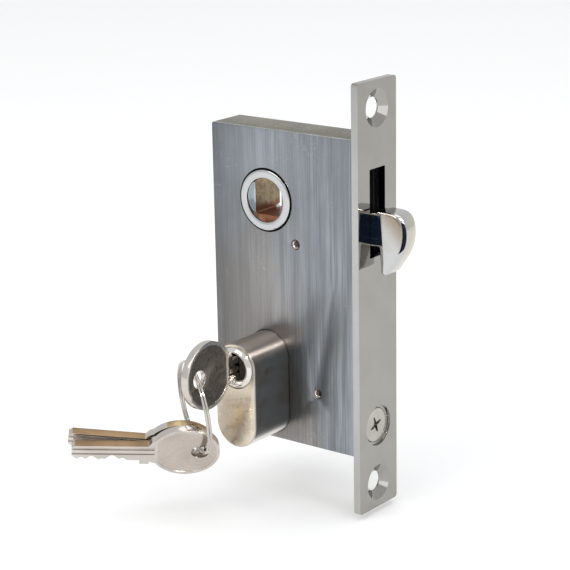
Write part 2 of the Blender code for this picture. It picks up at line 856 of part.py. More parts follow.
def build_key(name, place, origin, cuts, end):
    """A flat key.  place(a, b, c) gives the lock-frame point; c runs across its thickness."""
    outline = key_outline(cuts, end)
    half = KEY_THICK / 2

    def plate(label, slot, shape, low, high, edge=0.0, **more):
        made = slab(label, None, shape, "Z", low, high, edge=edge)
        points = [tuple(Vector(v.co) / MM) for v in made.data.vertices]
        faces = [list(f.vertices) for f in made.data.polygons]
        bpy.data.objects.remove(made, do_unlink=True)
        return node(label, slot, [place(*p) for p in points], faces, **more)

    key = plate(name, "key_nickel", outline, -half, half, edge=0.22, origin=origin)
    hole = arc((-BOW_HOLE_OFFSET, 0), BOW_HOLE_R, 0, 345, 23)
    cut(key, plate(f"cut_hole_{name}", None, hole, -3, 3))
    field = arc((0, 0), FIELD_R, FIELD_CHORD_ANGLE, 360 - FIELD_CHORD_ANGLE, 44)
    for tag, low, high in (("a", half - FIELD_DEPTH, 3), ("b", -3, -half + FIELD_DEPTH)):
        cut(key, plate(f"cut_field_{tag}_{name}", None, field, low, high))
    for tag, low, high, base in (("a", half - 0.55, 3, 0.9), ("b", -3, -half + 0.55, -0.7)):
        groove = [
            (SHOULDER - 3.4, base),
            (end + 2, base),
            (end + 2, base + 1.3),
            (SHOULDER - 3.4, base + 1.3),
        ]
        cut(key, plate(f"cut_groove_{tag}_{name}", None, groove, low, high))
    return key


def build_keys():
    cuts = [(y - BOW_Y, depth) for y, depth in zip(PIN_Y, CUT_DEPTHS)]

    def in_lock(a, b, c):
        return (AXIS_X - c, BOW_Y + a, BOW_Z + b)

    build_key("key_main", in_lock, (AXIS_X, 0, PLUG_Z), cuts, BLADE_END)

    hold = math.radians(RING_HOLD_ANGLE)
    hang = Vector((AXIS_X, BOW_Y - BOW_HOLE_OFFSET + 0.3, BOW_Z - RING_DROP))
    centre = hang - RING_R * (math.cos(hold) * RING_DOWN + math.sin(hold) * RING_ACROSS)
    normal = RING_DOWN.cross(RING_ACROSS)
    build_ring(hang, centre, normal)

    upright = SPARE_NORMAL.cross(SPARE_AXIS)
    if upright.z < 0:
        upright = -upright
    rests = zip(SPARE_ANGLES, SPARE_TURNS, SPARE_DROPS)
    for number, (angle, lift, drop) in enumerate(rests, 1):
        turn = math.radians(angle)
        eye = centre + RING_R * (math.cos(turn) * RING_DOWN + math.sin(turn) * RING_ACROSS)
        raised = math.radians(lift)
        along = math.cos(raised) * SPARE_AXIS + math.sin(raised) * upright
        across = math.cos(raised) * upright - math.sin(raised) * SPARE_AXIS
        bow = eye + along * (BOW_HOLE_OFFSET + SPARE_SHIFT) - across * drop

        def hanging(a, b, c, bow=bow, along=along, across=across):
            return tuple(bow + along * a + across * b + SPARE_NORMAL * c)

        end = BLADE_END + SPARE_LONGER
        build_key(f"spare_key_{number}", hanging, tuple(eye), cuts, end)


def build_ring(hang, centre, normal):
    """Split ring: two flat turns side by side, joined by a step."""
    sides = 8
    turns = 2
    count = RING_STEPS * turns
    points = []
    for k in range(count + 1):
        angle = 2 * math.pi * (k + 8) / RING_STEPS
        climb = k / RING_STEPS
        # Each turn stays flat; the step between them is a short ramp.
        ramp = min(1.0, max(0.0, (climb - 0.94) / 0.12))
        shift = RING_PITCH * (ramp - 0.5)
        out = math.cos(angle) * RING_DOWN + math.sin(angle) * RING_ACROSS
        middle = centre + RING_R * out + normal * shift
        for s in range(sides):
            swing = 2 * math.pi * s / sides
            offset = out * math.cos(swing) + normal * math.sin(swing)
            points.append(tuple(middle + offset * RING_WIRE_R))
    faces = [list(range(sides))[::-1]]
    for k in range(count):
        for s in range(sides):
            a = k * sides + s
            b = k * sides + (s + 1) % sides
            faces.append([a, b, b + sides, a + sides])
    faces.append([count * sides + s for s in range(sides)])
    node("key_ring", "key_nickel", points, faces, origin=tuple(hang), smooth=True)


def parent(child, above):
    lower = bpy.data.objects[child]
    upper = bpy.data.objects[above]
    lower.parent = upper
    lower.matrix_parent_inverse = Matrix.Translation(-upper.location)


clear_scene()
build_faceplate()
build_case()
build_hook()
build_slide()
build_follower()
build_cylinder()
build_keys()
for piece in ["key_main", "cam", "clutch"] + [f"key_pin_{k + 1}" for k in range(len(PIN_Y))]:
    parent(piece, "plug_near")
for piece in ("follower_ring_near", "follower_ring_far"):
    parent(piece, "follower_hub")
parent("key_ring", "key_main")
for piece in ("spare_key_1", "spare_key_2"):
    parent(piece, "key_ring")
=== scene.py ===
"""Looks for the mortise hook lock: fine meshes, metals, floor, lights and camera."""

import math

import bmesh
import bpy
from mathutils import Matrix, Vector


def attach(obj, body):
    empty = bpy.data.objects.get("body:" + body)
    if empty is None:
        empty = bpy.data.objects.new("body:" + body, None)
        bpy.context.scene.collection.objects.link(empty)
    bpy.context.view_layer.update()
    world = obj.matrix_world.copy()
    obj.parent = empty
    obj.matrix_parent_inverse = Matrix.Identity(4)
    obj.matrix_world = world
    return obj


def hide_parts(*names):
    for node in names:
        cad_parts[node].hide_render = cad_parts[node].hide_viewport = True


MM = 0.001
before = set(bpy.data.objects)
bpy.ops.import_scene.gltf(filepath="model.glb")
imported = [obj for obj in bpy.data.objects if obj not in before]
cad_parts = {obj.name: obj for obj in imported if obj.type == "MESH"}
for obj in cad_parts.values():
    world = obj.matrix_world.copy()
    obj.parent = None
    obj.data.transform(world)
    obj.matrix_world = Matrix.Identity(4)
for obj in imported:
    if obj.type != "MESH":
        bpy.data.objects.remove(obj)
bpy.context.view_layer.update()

# Sizes and places in the lock's frame are in millimetres, and angles in degrees.
# Faceplate and case
PLATE_HEIGHT, PLATE_WIDTH, PLATE_THICK, PLATE_CORNER_R = 149.3, 22.0, 2.6, 1.2
SLOT_WIDTH, SLOT_LOW, SLOT_HIGH, SLOT_CORNER_R = 8.86, 15.1, 45.3, 0.4
SCREW_HOLES_Z = (65.2, -65.7)
SINK_R, SINK_BOTTOM_R, SINK_BOTTOM = 6.55, 3.5, 0.5
FIXING_Z, FIXING_CLEAR_R = -45.0, 2.75
CASE_REAR, CASE_TOP, CASE_BOTTOM, CASE_HALF = -61.8, 55.2, -55.3, 7.3
CASE_GAP, CASE_WALL, CASE_CORNER_R = 0.05, 1.8, 0.8
CASE_HOLE_R, PIN_HOLE_R, OVAL_CLEARANCE = 11.15, 1.75, 0.25
UPPER_PIN, LOWER_PIN = (-26.3, 16.3), (-17.8, -35.5)
PIN_DISH_R, PIN_RIM_R = 1.12, 1.4
FRONT_HALF, FRONT_MARGIN, GROOVE_MARGIN = 4.7, 0.6, 0.5
SCREW_TURN = 20
GUIDE_X, GUIDE_HALF, GUIDE_Z = (-5.6, -1.95), 5.35, (8.6, 48.2)
GUIDE_OPENING_HALF, GUIDE_OPENING_Z = 4.5, (10.2, 46.4)
# Hook bolt
HOOK_PIVOT, HOOK_HALF = (-12.0, 12.0), 4.3
HOOK_EYE_R, HOOK_BORE_R = 6.0, 2.08
TAIL_ANGLE, TAIL_R, TAIL_TIP_R = 150, 9.0, 1.8
HOOK_RIM, TAIL_RIM = 0.35, 0.2
# Follower
AXIS_X, FOLLOWER_Z, PLUG_Z = -38.8, 30.3, -24.9
RING_OUTER_R, RING_INNER_R = 10.75, 7.75
HUB_R, HUB_HALF, BOSS_R, BOSS_Y = 9.0, 5.7, 7.4, (5.0, 7.9)
ARM_ANGLE, ARM_LENGTH, ARM_R, ARM_ROOT, ARM_HALF = 22.4, 11.8, 1.6, 6.5, 5.3
SQUARE_HALF, SQUARE_CORNER_R = 5.65, 0.5
# Cylinder and its pins
OVAL_R, OVAL_LOW_Z, OVAL_HALF, OVAL_EDGE = 8.6, -45.1, 26.2, 0.55
BORE_R, COLLAR_SEAT_R, COLLAR_SEAT_DEPTH = 6.48, 7.5, 1.2
CAM_SLOT_HALF, CAM_SLOT_BOTTOM, CAM_REACH, THREAD_R = 4.6, -33.9, 12, 2.5
PIN_COUNT, FIRST_PIN_Y, PIN_PITCH, CHAMBER_R = 5, -21.6, 3.5, 1.4
KEYWAY_GAP, KEYWAY_ABOVE, KEYWAY_BELOW = 0.15, 3.45, 4.65
# Keys: a runs along the blade from the bow's centre, b across it
BOW_R, BOW_HOLE_R, BOW_HOLE_OFFSET = 11.8, 3.1, 5.0
BOW_Y, BOW_Z, KEY_THICK = -41.1, -23.4, 2.6
BLADE_END, BLADE_TOP, BLADE_BOTTOM, NECK_HALF = 36.8, 3.2, -4.4, 6.0
SHOULDER_START, SHOULDER_END, SHOULDER_DROPS = 12.45, 13.65, (-5.2, -6.4)
CUT_DEPTHS, CUT_HALF = (1.2, 2.6, 0.8, 2.1, 1.5), 0.4
TIP_BELOW, TIP_ABOVE, BRASS_FROM = 2.2, 1.2, 13.4
# Grooves of the blade: the main one's lower side on each face, then each one's step, width and depth
GROOVE_FROM, GROOVE_LOW = 10.6, {1: 0.9, -1: -0.7}
GROOVES = ((0.0, 1.3, 0.55), (-2.3, 0.8, 0.3))
FIELD_R, FIELD_CHORD_ANGLE, FIELD_DEPTH = 10.6, 28.7, 0.3
# Key ring, and the spare keys on it
SPARE_NORMAL = Vector((0.5528, -0.6561, -0.5139)).normalized()
SPARE_AXIS = Vector((-0.7498, -0.6606, 0.0369)).normalized()
RING_DOWN = Vector((0.2014, 0.0017, -0.9795)).normalized()
RING_ACROSS = Vector((0.815, -0.555, 0.1665)).normalized()
RING_R, RING_HOLD, RING_DROP, RING_RISE = 16.1, 131.3, 1.1, 0.3
WIRE_R, WIRE_FLAT, WIRE_PITCH, WIRE_SIDES, WIRE_STEPS = 0.43, 0.95, 0.92, 16, 180
WIRE_START, STEP_FROM, STEP_LENGTH = 48, 0.94, 0.12
SPARE_ANGLES, SPARE_TURNS, SPARE_DROPS = (-11.0, -28.0), (1.5, 7.5), (0.0, 1.2)
SPARE_SHIFT, SPARE_LONGER = 0.2, 2.1
# Rounding of edges
PLATE_BEVEL, TRAY_BEVEL, COVER_BEVEL, KEY_BEVEL = 0.28, 0.22, 0.42, 0.16
GUIDE_BEVEL, SCREW_BEVEL, HUB_BEVEL = 0.15, 0.12, 0.15
# Finishes and painted light: from where to where a shade changes
NEAR_PLATE_X, REAR_SHADE, WARM_TO_COOL_Z, COOL_FROM_X = (-50, -12), 24, (-35, 45), -34
STAIN_Y, STAIN_Z, STAIN_R = -19.6, -26.5, 1.732
SOCKET_RED_Z, SOCKET_RIM_X = (26.2, 28.2), (-44.4, -44.0)
DARK_FRONT, DARK_TOP, DARK_BOTTOM, DARK_INSIDE = (9.1, 9.3), (30.1, 30.4), (19.8, 20.1), (0, 0.5)
NOSE_PAINTED_REFLECTION, NOSE_PAINTED_SHEEN_Y = (31, 42), (-3.5, 3.0)
# Studio: the floor and the lamps are in metres
FLOOR_HALF, FLOOR_DROP = 6.0, 0.002
FLOOR_COLOR, FLOOR_GLOW = (0.93, 0.93, 0.93), 0.17
WORLD_COLOR, WORLD_LIGHT = (0.98, 0.99, 1.0), 0.78
LAMP_AIM = Vector((-0.03, 0, 0))
# Each lamp: place, size, power in watts, colour
LAMPS = {
    "key_light": ((-0.25, -0.75, 0.75), (0.6, 0.6), 2.2, (1.0, 0.99, 0.97)),
    "side_light": ((0.9, -0.25, 0.35), (0.35, 0.9), 1.2, (0.95, 0.97, 1.0)),
    "top_light": ((0.0, 0.1, 0.95), (0.7, 0.7), 1.5, (1.0, 1.0, 1.0)),
    "strip_light": ((0.60, -0.29, 0.70), (0.6, 0.07), 6.5, (1.0, 0.99, 0.97)),
}
CARD_PLACE, CARD_AIM = (31.5, -12.0, 19.0), (14.0, 0.0, 25.0)
CARD_WIDTH, CARD_HEIGHT, CARD_COLOR = 20.0, 36.0, (0.010, 0.014, 0.035)
# Camera
CAMERA_TURN, CAMERA_RISE, CAMERA_ROLL = 37.794, 15.996, -1.048
CAMERA_AIM, CAMERA_DISTANCE = (-36.758, 0.0, -1.308), 667.792
FOCAL_LENGTH, SENSOR_WIDTH = 121.104253, 36.0


# ---------------------------------------------------------------- materials


class Nodes:
    """Short way to build a node tree. Its coordinates are the lock's, in metres."""

    def __init__(self, name):
        self.material = bpy.data.materials.new(name)
        self.material.use_nodes = True
        self.tree = self.material.node_tree
        self.shader = self.tree.nodes["Principled BSDF"]
        self.coords = self.tree.nodes.new("ShaderNodeTexCoord").outputs["Object"]

    def add(self, kind, inputs=(), **settings):
        made = self.tree.nodes.new(kind)
        for key, value in settings.items():
            setattr(made, key, value)
        for key, value in dict(inputs).items():
            if hasattr(value, "links"):
                self.tree.links.new(value, made.inputs[key])
            else:
                made.inputs[key].default_value = value
        return made

    def noise(self, scale, stretch=(1, 1, 1), detail=2.0, rough=0.5, distortion=0.0):
        place = self.add("ShaderNodeMapping", {"Vector": self.coords, "Scale": stretch})
        return self.add(
            "ShaderNodeTexNoise",
            {
                "Vector": place.outputs[0],
                "Scale": scale,
                "Detail": detail,
                "Roughness": rough,
                "Distortion": distortion,
            },
        ).outputs["Fac"]

    def ramp(self, value, low, high, to_low=0.0, to_high=1.0):
        return self.add(
            "ShaderNodeMapRange",
            {0: value, 1: low, 2: high, 3: to_low, 4: to_high},
            interpolation_type="SMOOTHSTEP",
        ).outputs[0]

    def span(self, value, places, to_low=0.0, to_high=1.0):
        """A ramp between two places in millimetres."""
        return self.ramp(value, places[0] * MM, places[1] * MM, to_low, to_high)

    def math(self, operation, a, b=0.0):
        return self.add("ShaderNodeMath", {0: a, 1: b}, operation=operation).outputs[0]

    def mix(self, share, a, b):
        return self.add(
            "ShaderNodeMix", {0: share, 6: a, 7: b}, data_type="RGBA"
        ).outputs[2]

    def set(self, socket, value):
        if hasattr(value, "links"):
            self.tree.links.new(value, self.shader.inputs[socket])
        else:
            self.shader.inputs[socket].default_value = value

    def bump(self, height, strength, distance=0.00005):
        made = self.add(
            "ShaderNodeBump", {"Height": height, "Strength": strength, "Distance": distance}
        )
        self.tree.links.new(made.outputs[0], self.shader.inputs["Normal"])


def scratches(n, spread=420.0, angle=0.6):
    """Thin, sparse lines: the ridge of a stretched noise."""
    place = n.add(
        "ShaderNodeMapping",
        {"Vector": n.coords, "Rotation": (angle, angle * 0.7, angle), "Scale": (1, 0.06, 0.5)},
    )
    wave = n.add(
        "ShaderNodeTexNoise",
        {"Vector": place.outputs[0], "Scale": spread, "Detail": 3.0, "Distortion": 0.4},
    ).outputs["Fac"]
    ridge = n.math("ABSOLUTE", n.math("SUBTRACT", wave, 0.5))
    return n.ramp(ridge, 0.0, 0.006, 1.0, 0.0)


def chrome(name, color, rough=0.07, scratch=0.12, tint=0.06):
    """Polished plate with a faint cloud and a few hairline scratches."""
    n = Nodes(name)
    cloud = n.noise(90.0, detail=3.0)
    dull = tuple(c * (1 - tint) for c in color)
    n.set("Base Color", n.mix(n.ramp(cloud, 0.35, 0.7), (*color, 1.0), (*dull, 1.0)))
    n.set("Metallic", 1.0)
    lines = scratches(n)
    fine = n.noise(900.0, detail=2.0)
    base = n.ramp(fine, 0.3, 0.7, rough * 0.8, rough * 1.3)
    n.set("Roughness", n.math("ADD", base, n.math("MULTIPLY", lines, scratch)))
    n.bump(n.math("SUBTRACT", n.noise(140.0, detail=1.0), lines), 0.03, 0.00002)
    return n.material


def satin(name, color, rough, grain=1600.0, strength=0.12, tint=0.12):
    """Plain metal with a fine grain."""
    n = Nodes(name)
    cloud = n.noise(120.0, detail=4.0)
    grainy = n.noise(grain, detail=3.0)
    dull = tuple(c * (1 - tint) for c in color)
    n.set("Base Color", n.mix(n.ramp(cloud, 0.3, 0.7), (*color, 1.0), (*dull, 1.0)))
    n.set("Metallic", 1.0)
    n.set("Roughness", n.ramp(grainy, 0.3, 0.7, rough * 0.85, rough * 1.2))
    if strength:
        n.bump(grainy, strength, 0.00002)
    return n.material


def black_plastic(name):
    n = Nodes(name)
    n.set("Base Color", (0.008, 0.008, 0.009, 1.0))
    n.set("Roughness", n.ramp(n.noise(700.0), 0.3, 0.7, 0.42, 0.58))
    n.bump(n.noise(1500.0), 0.15)
    return n.material


def along(n, axis):
    """The place along one axis of the lock, in metres."""
    return n.add("ShaderNodeSeparateXYZ", {0: n.coords}).outputs["XYZ".index(axis)]


def facing(n, axis):
    """How far the surface looks along one axis of the scene, from -1 to 1."""
    normal = n.add("ShaderNodeNewGeometry").outputs["Normal"]
    return n.add("ShaderNodeSeparateXYZ", {0: normal}).outputs["XYZ".index(axis)]


def case_face(name):
    """Steel brushed up and down: cool above, warm below, streakier towards the faceplate, with painted shade
    darkening it towards the rear.
    """
    n = Nodes(name)
    z, x = along(n, "Z"), along(n, "X")
    fine = n.noise(1900.0, (1, 1, 0.012), detail=3.0, rough=0.62)
    broad = n.noise(330.0, (1, 1, 0.05), detail=4.0, rough=0.6)
    patch = n.noise(34.0, (1, 1, 0.6), detail=3.0, rough=0.55, distortion=0.6)
    drawn = n.math("ADD", n.math("MULTIPLY", fine, 0.5), n.math("MULTIPLY", broad, 0.5))
    drawn = n.ramp(drawn, 0.36, 0.64)
    near_plate = n.span(x, NEAR_PLATE_X, 0.35, 0.8)
    depth = n.math("MULTIPLY", near_plate, n.ramp(patch, 0.3, 0.65, 0.55, 1.0))
    groove = n.math("SUBTRACT", 1.0, drawn)
    level = n.math("SUBTRACT", 1.0, n.math("MULTIPLY", groove, n.math("MULTIPLY", depth, 0.55)))
    level = n.math("MULTIPLY", level, n.ramp(patch, 0.3, 0.7, 0.86, 1.12))
    # Painted shade: the face gets darker towards the rear end of the case.
    shade = n.span(x, (CASE_REAR, CASE_REAR + REAR_SHADE), 0.56, 1.0)
    level = n.math("MULTIPLY", level, shade)
    high = n.math("ADD", z, n.math("MULTIPLY", n.math("SUBTRACT", patch, 0.5), 0.30))
    right = n.math("MAXIMUM", n.math("ADD", x, -COOL_FROM_X * MM), 0.0)
    high = n.math("ADD", high, n.math("MULTIPLY", right, 3.6))
    warm, cool = (0.348, 0.336, 0.328, 1.0), (0.318, 0.343, 0.372, 1.0)
    hue = n.mix(n.span(high, WARM_TO_COOL_Z), warm, cool)
    grey = n.add("ShaderNodeCombineXYZ", {0: level, 1: level, 2: level}).outputs[0]
    metal = n.add(
        "ShaderNodeMix", {0: 1.0, 6: hue, 7: grey}, data_type="RGBA", blend_type="MULTIPLY"
    ).outputs[2]
    lines = scratches(n, 210.0, 0.9)
    nicks = scratches(n, 330.0, 2.1)
    marks = n.math("MULTIPLY", n.math("ADD", lines, nicks), n.ramp(n.noise(60.0), 0.5, 0.7))
    n.set("Base Color", n.mix(n.math("MULTIPLY", marks, 0.35), metal, (0.55, 0.55, 0.56, 1.0)))
    n.set("Metallic", 1.0)
    n.set("Roughness", n.ramp(drawn, 0.0, 1.0, 0.40, 0.28))
    n.bump(n.math("SUBTRACT", drawn, n.math("MULTIPLY", marks, 0.6)), 0.3)
    return n.material


def cylinder_side(name):
    """Satin nickel rubbed along its length, with painted reflections: darker on the flank that looks at the
    faceplate, brown on the crown, pale on the underside.
    """
    n = Nodes(name)
    rub = n.noise(1500.0, (1, 0.04, 1), detail=3.0, rough=0.6)
    cloud = n.noise(95.0, detail=4.0)
    flank = n.ramp(facing(n, "X"), 0.80, 0.985)
    underside = n.ramp(facing(n, "Z"), -0.2, -0.7)
    base = n.mix(n.ramp(cloud, 0.3, 0.7), (0.50, 0.475, 0.44, 1.0), (0.42, 0.40, 0.37, 1.0))
    # Painted reflection: the crown is darker and browner.
    crown_painted_reflection = n.ramp(facing(n, "Z"), 0.2, 0.55)
    base = n.mix(crown_painted_reflection, base, (0.32, 0.28, 0.255, 1.0))
    # Painted reflection: the underside is lighter, as if it mirrored the floor.
    keel_painted_reflection = n.ramp(facing(n, "Z"), -0.25, -0.6)
    base = n.mix(keel_painted_reflection, base, (0.92, 0.90, 0.87, 1.0))
    # Painted reflection: the flank that looks at the faceplate is dark.
    flank_painted_reflection = n.mix(n.ramp(cloud, 0.4, 0.62), (0.115, 0.12, 0.122, 1.0), (0.10, 0.095, 0.088, 1.0))
    color = n.mix(flank, base, flank_painted_reflection)
    # A small rust stain on the flank.
    y, z = along(n, "Y"), along(n, "Z")
    off_y = n.math("SUBTRACT", y, STAIN_Y * MM)
    off_z = n.math("SUBTRACT", z, STAIN_Z * MM)
    spot = n.math("ADD", n.math("MULTIPLY", off_y, off_y), n.math("MULTIPLY", off_z, off_z))
    uneven = n.ramp(cloud, 0.35, 0.5, 0.4, 1.0)
    stain = n.math("MULTIPLY", n.ramp(spot, 0.0, (STAIN_R * MM) ** 2, 1.0, 0.0), uneven)
    stain = n.math("MULTIPLY", stain, flank)
    n.set("Base Color", n.mix(n.math("MULTIPLY", stain, 0.7), color, (0.10, 0.05, 0.025, 1.0)))
    n.set("Metallic", 1.0)
    rubbed = n.ramp(rub, 0.3, 0.7, 0.32, 0.44)
    n.set("Roughness", n.math("ADD", rubbed, n.math("MULTIPLY", underside, 0.1)))
    tangent = n.add("ShaderNodeTangent", direction_type="RADIAL", axis="Y")
    n.set("Tangent", tangent.outputs[0])
    n.set("Anisotropic", 0.95)
    n.set("Anisotropic Rotation", 0.25)
    n.bump(rub, 0.10, 0.00002)
    return n.material


def socket_metal(name):
    """Bronze-coloured square drive, olive above and red-brown at its floor, with a bright rear rim."""
    n = Nodes(name)
    z = along(n, "Z")
    wobble = n.math("MULTIPLY", n.math("SUBTRACT", n.noise(260.0), 0.5), 0.004)
    low = n.span(n.math("ADD", z, wobble), SOCKET_RED_Z, 1.0, 0.0)
    cloud = n.ramp(n.noise(500.0, detail=4.0), 0.35, 0.65)
    mottle = n.mix(cloud, (0.33, 0.25, 0.155, 1.0), (0.23, 0.175, 0.115, 1.0))
    bronze = n.mix(low, mottle, (0.23, 0.10, 0.055, 1.0))
    front = n.ramp(n.math("ABSOLUTE", facing(n, "Y")), 0.6, 0.9)
    bright = n.math("MULTIPLY", front, n.span(along(n, "X"), SOCKET_RIM_X, 1.0, 0.0))
    n.set("Base Color", n.mix(bright, bronze, (0.50, 0.56, 0.60, 1.0)))
    n.set("Metallic", n.ramp(bright, 0.0, 1.0, 0.75, 1.0))
    dull = n.ramp(n.noise(900.0), 0.3, 0.7, 0.24, 0.4)
    n.set("Roughness", n.math("MULTIPLY", dull, n.ramp(bright, 0.0, 1.0, 1.0, 0.25)))
    n.bump(n.noise(420.0, detail=3.0), 0.4)
    return n.material


def hook_metal(name):
    """Polished head; the shank's flanks are blue-black and pitted inside bright rims. A tan reflection is
    painted on the flanks near the nose, and a warm sheen on the nose's outer face.
    """
    n = Nodes(name)
    x, z = along(n, "X"), along(n, "Z")
    side = n.math("ABSOLUTE", facing(n, "Y"))
    flank = n.ramp(side, 0.75, 0.9)
    slant = n.math("ADD", x, n.math("MULTIPLY", z, 0.08))
    before_head = n.span(slant, DARK_FRONT, 1.0, 0.0)
    below_rim = n.span(z, DARK_TOP, 1.0, 0.0)
    above_throat = n.span(n.math("SUBTRACT", z, n.math("MULTIPLY", x, 0.03)), DARK_BOTTOM)
    above_throat = n.math("MAXIMUM", above_throat, n.span(x, DARK_INSIDE, 1.0, 0.0))
    dark = n.math("MULTIPLY", n.math("MULTIPLY", flank, before_head), below_rim)
    dark = n.math("MULTIPLY", dark, above_throat)
    pits = n.noise(1500.0, detail=4.0, rough=0.7)
    glint = n.ramp(pits, 0.60, 0.72)
    scale = n.mix(glint, (0.010, 0.016, 0.034, 1.0), (0.10, 0.16, 0.26, 1.0))
    cloud = n.ramp(n.noise(110.0, detail=2.0), 0.35, 0.7)
    bright = n.mix(cloud, (0.56, 0.56, 0.56, 1.0), (0.51, 0.505, 0.49, 1.0))
    # Painted reflection: a tan patch on the flanks near the nose.
    tan_painted_reflection = n.math("MULTIPLY", n.span(n.math("ADD", x, z), NOSE_PAINTED_REFLECTION), flank)
    bright = n.mix(n.math("MULTIPLY", tan_painted_reflection, 0.95), bright, (0.33, 0.27, 0.21, 1.0))
    # Painted highlight: a warm pale sheen on the nose's outer face.
    front, across = n.ramp(facing(n, "X"), 0.35, 0.85), n.span(along(n, "Y"), NOSE_PAINTED_SHEEN_Y)
    far = n.math("MULTIPLY", n.math("MULTIPLY", front, across), 0.7)
    bright = n.mix(far, bright, (0.70, 0.62, 0.46, 1.0))
    n.set("Base Color", n.mix(dark, bright, scale))
    n.set("Metallic", 1.0)
    lines = scratches(n, 500.0, 0.4)
    fine = n.ramp(n.noise(900.0), 0.3, 0.7, 0.05, 0.1)
    shine = n.math("ADD", fine, n.math("MULTIPLY", lines, 0.1))
    n.set("Roughness", n.math("ADD", shine, n.math("MULTIPLY", dark, 0.28)))
    relief = n.math("MULTIPLY", pits, dark)
    n.bump(n.math("SUBTRACT", relief, n.math("MULTIPLY", lines, 0.08)), 0.5)
    return n.material


MATS = {
    "plate": chrome("plate_chrome", (0.355, 0.345, 0.32), 0.07, 0.1),
    "plate_edge": chrome("plate_edge", (0.48, 0.475, 0.47), 0.16, 0.1),
    "chrome": chrome("ring_chrome", (0.56, 0.57, 0.58), 0.07, 0.1),
    "recess": chrome("recess_chrome", (0.62, 0.64, 0.66), 0.05, 0.08),
    "socket": socket_metal("socket_metal"),
    "case": case_face("case_brushed"),
    "case_rim": satin("case_rim", (0.265, 0.25, 0.205), 0.42, 900.0, 0.4, 0.22),
    # Painted highlight: near-white metal that makes the burred top edge of the cover show as a bright line.
    "burr_highlight": satin("case_burr_highlight", (0.98, 0.97, 0.93), 0.25, 2600.0, 0.6, 0.5),
    "hook": hook_metal("hook_metal"),
    "black": black_plastic("guide_black"),
    "nickel": cylinder_side("cylinder_nickel"),
    "nickel_face": satin("cylinder_face", (0.84, 0.75, 0.62), 0.30, 500.0, 0.0, 0.14),
    "collar": chrome("collar_chrome", (0.80, 0.76, 0.72), 0.08, 0.12),
    "screw": satin("screw_head", (0.50, 0.48, 0.44), 0.24, 1300.0, 0.1, 0.15),
    "key": satin("key_nickel", (0.66, 0.61, 0.565), 0.17, 1500.0, 0.08),
    "key_field": satin("key_field", (0.60, 0.535, 0.485), 0.24, 500.0, 0.0),
    "key_dark": satin("key_dark_field", (0.205, 0.175, 0.15), 0.28, 500.0, 0.0),
    "wire": chrome("wire_nickel", (0.60, 0.56, 0.52), 0.09, 0.15),
    "bow_brass": satin("bow_brass", (0.50, 0.38, 0.22), 0.28, 1200.0, 0.2, 0.25),
    "brass": satin("cut_brass", (0.29, 0.195, 0.11), 0.36, 1400.0, 0.4, 0.3),
    "copper": satin("burr_copper", (0.30, 0.20, 0.165), 0.3),
    "zinc": satin("zinc_steel", (0.45, 0.45, 0.44), 0.33, 1100.0, 0.2),
    "spring": satin("spring_steel", (0.34, 0.34, 0.36), 0.3),
    # Painted shade for the mouth of the plug.
    "dark": satin("mouth_painted_shade", (0.05, 0.045, 0.04), 0.35, 1100.0, 0.3),
    "pin_end": satin("pin_end", (0.09, 0.07, 0.065), 0.25, 1100.0, 0.3),
}


# ---------------------------------------------------------------- mesh tools


def lifted(a, b, height, axis):
    """The point (a, b) of a plane across the axis, moved along it by height."""
    return {"X": (height, a, b), "Y": (a, height, b), "Z": (a, b, height)}[axis]


def face_outwards(mesh, recalculate=False):
    """Turns a closed mesh whose faces look inwards; recalculate first makes them agree."""
    shell = bmesh.new()
    shell.from_mesh(mesh)
    if recalculate:
        bmesh.ops.recalc_face_normals(shell, faces=shell.faces)
    if shell.calc_volume(signed=True) < 0:
        bmesh.ops.reverse_faces(shell, faces=shell.faces)
    shell.to_mesh(mesh)
    shell.free()


def mesh_object(name, points, faces, smooth=30.0):
    """Points in millimetres in the lock's frame. Edges that bend more than smooth degrees stay sharp."""
    mesh = bpy.data.meshes.new(name)
    mesh.from_pydata([Vector(p) * MM for p in points], [], faces)
    face_outwards(mesh, recalculate=True)
    obj = bpy.data.objects.new(name, mesh)
    bpy.context.scene.collection.objects.link(obj)
    mesh.shade_smooth()
    mesh.set_sharp_from_angle(angle=math.radians(smooth))
    return obj


def outward(outline):
    """For each corner, the outward step that moves both of its sides by 1."""
    count = len(outline)
    area = sum(
        outline[i - 1][0] * outline[i][1] - outline[i][0] * outline[i - 1][1]
        for i in range(count)
    )
    turn = 1.0 if area > 0 else -1.0
    normals = []
    for i in range(count):
        before = (Vector(outline[i]) - Vector(outline[i - 1])).normalized()
        after = (Vector(outline[(i + 1) % count]) - Vector(outline[i])).normalized()
        total = before + after
        total = total.normalized() if total.length > 1e-6 else after
        stretch = 1.0 / max(0.5, total.dot(after))
        normals.append(Vector((total.y, -total.x)) * turn * stretch)
    return normals


def slab(name, outline, axis, low, high, edge=0.0, steps=1, edges=None, smooth=30.0):
    """The outline drawn out from low to high, its rims rounded by edge, or by one of edges per point."""
    count = len(outline)
    radii = edges or [edge] * count
    rings = [(0.0, 0.0)]
    if max(radii) > 0:
        turns = [math.radians(90 * k / steps) for k in range(steps + 1)]
        rings = [(1 - math.sin(turn), 1 - math.cos(turn)) for turn in turns]
    normals = outward(outline)
    points = []
    for side, ordered in ((low, rings), (high, rings[::-1])):
        inward = 1 if side == low else -1
        for inset, depth in ordered:
            for p, n, r in zip(outline, normals, radii):
                a, b = p[0] - n.x * r * inset, p[1] - n.y * r * inset
                points.append(lifted(a, b, side + inward * r * depth, axis))
    faces = [list(range(count))[::-1]]
    for level in range(len(points) // count - 1):
        base = level * count
        faces += [
            [base + i, base + (i + 1) % count, base + count + (i + 1) % count, base + count + i]
            for i in range(count)
        ]
    faces.append([len(points) - count + i for i in range(count)])
    return mesh_object(name, points, faces, smooth)


def box(name, x, y, z):
    """Each of x, y and z is a pair: from where to where."""
    outline = [(x[0], z[0]), (x[1], z[0]), (x[1], z[1]), (x[0], z[1])]
    return slab(name, outline, "Y", y[0], y[1])


